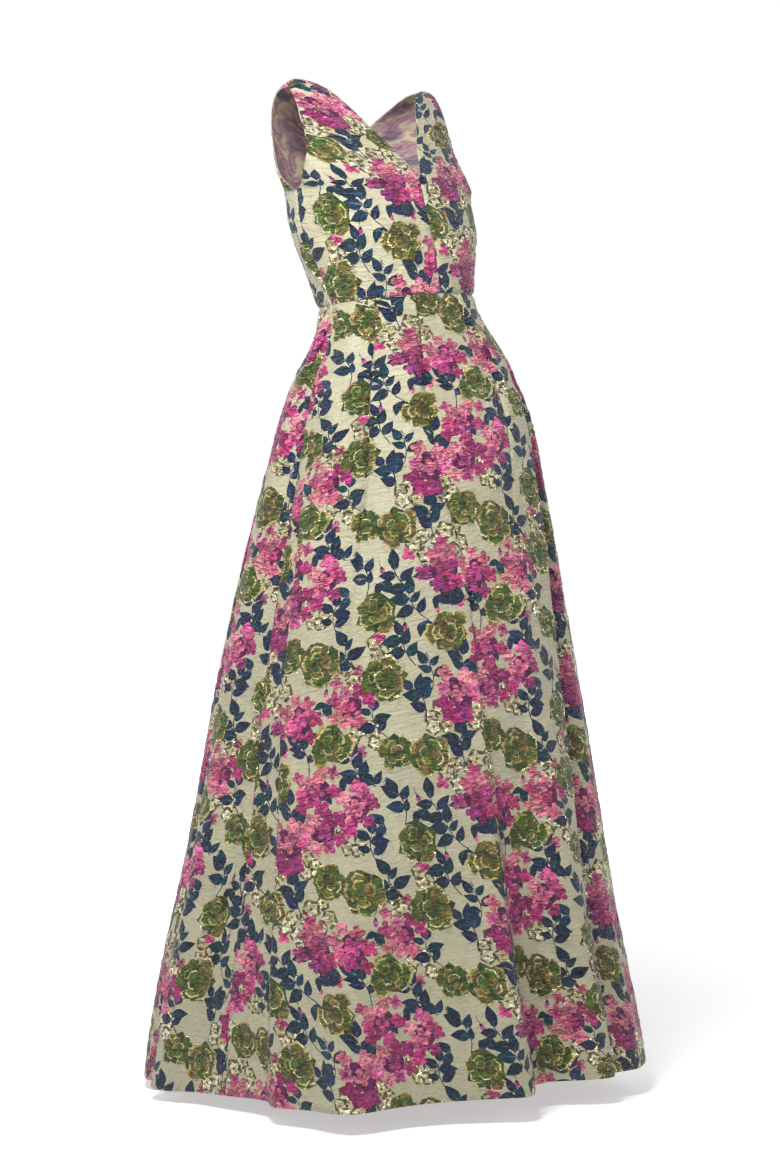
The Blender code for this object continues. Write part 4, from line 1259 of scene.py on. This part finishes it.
def column_turns(drop, start, end):
    """Angles of every column at every drop, in order and never closer than LEAST_TURN."""
    keys = key_turns(drop, start, end)
    count = keys.shape[1]
    keys = np.maximum.accumulate(keys - LEAST_TURN * np.arange(count), axis=1)
    keys = keys + LEAST_TURN * np.arange(count)
    lowest = start + LEAST_TURN * (1 + np.arange(count))
    highest = end - LEAST_TURN * (count - np.arange(count))
    keys = np.clip(keys, lowest, highest)
    ends = np.ones((len(drop), 1))
    keys = np.concatenate([start * ends, keys, end * ends], axis=1)
    columns = []
    for i in range(keys.shape[1] - 1):
        gaps = keys[:, i + 1] - keys[:, i]
        parts = max(1, math.ceil(gaps.max() / MOST_TURN))
        for part in range(parts):
            columns.append(keys[:, i] + gaps * part / parts)
    columns.append(keys[:, -1])
    return np.stack(columns, axis=1)


# Creases under the pleats' edges: how deep, the widest edge that is pressed at all, how far out the crease
# lies, and how far down the creases of the near and the far edge last
PRESSED_DEPTH = 0.0046
PRESSED_WIDEST = 13
PRESSED_FOOT = 2.8
NEAR_LASTING = 1.1
FAR_LASTING = 0.35


def pleat_lines(turn, drop):
    """Narrow creases where a pleat's pressed edge lies on the cloth beneath it, in metres inwards."""
    dip = np.zeros_like(turn)
    for recess in RECESSES:
        way = 1 if recess.far[0] > recess.near[0] else -1
        edges = ((recess.near, recess.near_width, way), (recess.far, recess.far_width, -way))
        for edge, width, step in edges:
            wide = of_fold(width, drop)
            foot = of_fold(edge, drop) + step * np.minimum(wide, PRESSED_FOOT)
            away = np.radians(nearest_turn(turn, edge[3]) - foot) * (120 + 260 * drop)
            lasting = FAR_LASTING if edge is recess.far else NEAR_LASTING
            starts = np.clip((PRESSED_WIDEST - wide) / 6, 0, 1) * ease(drop / 0.012)
            pressed = starts * (1 - ease((drop - 0.12) / lasting))
            dip += PRESSED_DEPTH * pressed * np.exp(-((away / (1.7 + 1.6 * drop)) ** 2))
    return dip


# Waves round the skirt: their share, how many, where they start, and how they wander as they go down
WAVE_HEIGHT = 0.0013
WAVES = ((1.1, 7, 0.8, 1.1), (0.9, 11, 2.1, -1.6), (0.7, 17, 4.0, 2.3), (0.5, 26, 1.0, 4.1))


def long_waves(turn, drop):
    """Shallow uneven folds that run down the skirt between its pleats, in metres outwards."""
    radians = np.radians(turn)
    wave = sum(
        share * np.sin(count * radians + start + wander * drop) for share, count, start, wander in WAVES
    )
    return WAVE_HEIGHT * wave * ease((drop - 0.02) / 0.30) * (0.6 + 0.5 * drop)


drops = np.linspace(HEM_DROP, 0, round(HEM_DROP / ROW_STEP) + 1)

# Each panel's first and last turn, where the repeat starts on it, and its flat size and area
panels = (
    ("skirt_front", -90, 90, (12, 60), (1.214, 1.188), 1.025),
    ("skirt_back_right", 90, 180, (120, 200), (0.611, 1.185), 0.501),
    ("skirt_back_left", 180, 270, (250, 140), (0.611, 1.185), 0.501),
)
for name, start, end, shift, flat_size, flat_area in panels:
    turn = column_turns(drops, start, end)
    drop = np.repeat(drops[:, None], turn.shape[1], axis=1)
    grid = skirt_point(turn, drop)
    swell = long_waves(turn, drop) - pleat_lines(turn, drop)
    grid[..., 0] -= swell * np.sin(np.radians(turn))
    grid[..., 1] += swell * np.cos(np.radians(turn))
    inward = normals_of(grid)
    inward[0, :, 2] = 0
    inward[-1, :, 2] = 0
    outer = place(*np.moveaxis(grid, -1, 0))
    turned = unit(place(*np.moveaxis(grid + unit(inward) * INWARD_STEP, -1, 0)) - outer)
    middle = np.argmin(np.abs(turn.mean(axis=0) - (start + end) / 2))
    cut = lay_flat(outer, turned, int(middle), True)
    piece = make_cloth(name + "_cloth", cut, shift, (SEAM_DIP, SEAM_DIP, HEM_DIP, SEAM_DIP), SKIRT_GRAIN)
    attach(piece, "gown")
    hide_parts(name)


# Concealed zip. A woven tape sewn behind the centre-back seam, its slider at the neck edge and a small pull
# tab of pale plated metal. The solids are right as they are and get their real finish here.
tape_weave, tree, shader = new_material("zip_tape_weave")
where = add_node(tree, "ShaderNodeTexCoord").outputs["Object"]
ribs = add_node(
    tree, "ShaderNodeTexWave", (("bands_direction", "Z"),), vector=where, scale=420.0, distortion=1.5
).outputs["Fac"]
add_colour(tree, shader, tuple(dye(188, 184, 144)), map_range(tree, ribs, 0, 1, 0.8, 1.08))
add_bump(tree, shader, 0.5, 0.0003, ribs)
shader.inputs["Roughness"].default_value = 0.8

zip_metal, tree, shader = new_material("zip_metal_polish")
where = add_node(tree, "ShaderNodeTexCoord").outputs["Object"]
smears = add_node(tree, "ShaderNodeTexNoise", vector=where, scale=900.0, detail=3.0).outputs["Fac"]
tree.links.new(map_range(tree, smears, 0, 1, 0.2, 0.42), shader.inputs["Roughness"])
add_colour(tree, shader, (0.62, 0.55, 0.40), map_range(tree, smears, 0, 1, 0.9, 1.05))
shader.inputs["Metallic"].default_value = 1.0
for name, finish_of in (("zip_tape", tape_weave), ("zip_slider", zip_metal), ("zip_pull", zip_metal)):
    node = frame["nodes"][name]
    node.data.materials.clear()
    node.data.materials.append(finish_of)


# Studio. A pale paper floor just under the hem and a round paper wall, tall and white behind the gown, low
# and grey behind the camera. A small key light is close above, a little to the camera's left, and a weak
# broad fill to its right. The camera looks from the wearer's front right, as far off as the gown needs.
FLOOR = -1.4865
CAMERA_TURN = 38
CAMERA_DISTANCE = 5.0
LENS = 103.9
SENSOR = 36
EYE_DROP = 0.3397
AIM_SIDE = -0.008
AIM_DROP = 0.418
LIGHTS_AIM_DROP = 0.4
SURROUND = 13
WALL_HEIGHT = 2
WALL_LOW = 6
WALL_RISE = 14
waist = place(0.0, 0.0, 0.0)
toward = np.array([-math.sin(math.radians(CAMERA_TURN)), -math.cos(math.radians(CAMERA_TURN)), 0])
right = np.array([math.cos(math.radians(CAMERA_TURN)), -math.sin(math.radians(CAMERA_TURN)), 0])
eye = waist + toward * CAMERA_DISTANCE + np.array([0, 0, -EYE_DROP])
aim = waist + right * AIM_SIDE + np.array([0, 0, -AIM_DROP])


def look_at(thing, origin, target):
    """Puts a camera or light at a place and turns it to its target."""
    from_target = unit(np.asarray(origin, float) - np.asarray(target, float))
    side = unit(np.cross([0, 0, 1], from_target))
    above = np.cross(from_target, side)
    thing.matrix_world = [(*column, 0) for column in (side, above, from_target)] + [(*origin, 1)]


camera_data = bpy.data.cameras.new("camera")
camera_data.lens = LENS
camera_data.sensor_width = SENSOR
camera_data.sensor_fit = "AUTO"
camera = bpy.data.objects.new("camera", camera_data)
bpy.context.scene.collection.objects.link(camera)
look_at(camera, eye, aim)
bpy.context.scene.camera = camera

bpy.ops.object.select_all(action="DESELECT")
bpy.ops.mesh.primitive_circle_add(vertices=32, radius=SURROUND, fill_type="NGON", location=(0, 0, FLOOR))
floor = bpy.context.active_object
floor.name = "floor"
bpy.ops.mesh.primitive_cylinder_add(
    vertices=32, radius=SURROUND, depth=WALL_HEIGHT, end_fill_type="NOTHING",
    location=(0, 0, FLOOR + WALL_HEIGHT / 2),
)
backdrop = bpy.context.active_object
backdrop.name = "backdrop"
# The wall's upper edge climbs round to the side behind the gown
for corner in backdrop.data.vertices:
    behind = -(corner.co.x * toward[0] + corner.co.y * toward[1]) / SURROUND
    if corner.co.z > 0:
        corner.co.z = WALL_LOW + WALL_RISE * ease((behind + 0.4) / 0.8)
for sheet in (floor, backdrop):
    bpy.context.view_layer.objects.active = sheet
    sheet.select_set(True)
bpy.ops.object.transform_apply(location=True)
bpy.ops.object.select_all(action="DESELECT")


def paper(sheet, grey, direction, near, far, glow_near, glow_far):
    """Paper whose glow changes along a direction, or outwards from the middle where there is none."""
    material, tree, shader = new_material(sheet.name + "_paper")
    shader.inputs["Base Color"].default_value = (grey, grey, grey, 1)
    shader.inputs["Roughness"].default_value = 0.85
    shader.inputs["Emission Color"].default_value = (1, 1, 1, 1)
    where = add_node(tree, "ShaderNodeTexCoord").outputs["Object"]
    reach = tree.nodes.new("ShaderNodeVectorMath")
    tree.links.new(where, reach.inputs[0])
    if direction is None:
        reach.operation = "LENGTH"
    else:
        reach.operation = "DOT_PRODUCT"
        reach.inputs[1].default_value = direction
    glow = add_node(
        tree, "ShaderNodeMapRange", (("interpolation_type", "SMOOTHSTEP"),), value=reach.outputs["Value"],
        from_min=near, from_max=far, to_min=glow_near, to_max=glow_far,
    )
    tree.links.new(glow.outputs[0], shader.inputs["Emission Strength"])
    sheet.data.materials.append(material)


paper(floor, grey=0.8, direction=None, near=1.2, far=4.5, glow_near=0.45, glow_far=0.93)
paper(backdrop, grey=0.0, direction=toward, near=-6.0, far=8.0, glow_near=0.99, glow_far=0.2)

world = bpy.data.worlds.new("studio")
bpy.context.scene.world = world
world.use_nodes = True
world.node_tree.nodes["Background"].inputs["Color"].default_value = (1, 1, 1, 1)
world.node_tree.nodes["Background"].inputs["Strength"].default_value = 0.05
bpy.context.scene.view_settings.view_transform = "Standard"

for label, across, ahead, above, size, power in (
    ("key", -0.35, 1.35, 1.05, 0.5, 47),
    ("fill", 1.8, 3.4, 0.6, 2.4, 4),
):
    light_data = bpy.data.lights.new(label, "AREA")
    light_data.size = size
    light_data.energy = power
    light = bpy.data.objects.new(label, light_data)
    bpy.context.scene.collection.objects.link(light)
    stand = waist + right * across + toward * ahead + np.array([0, 0, above])
    look_at(light, stand, waist + np.array([0, 0, -LIGHTS_AIM_DROP]))
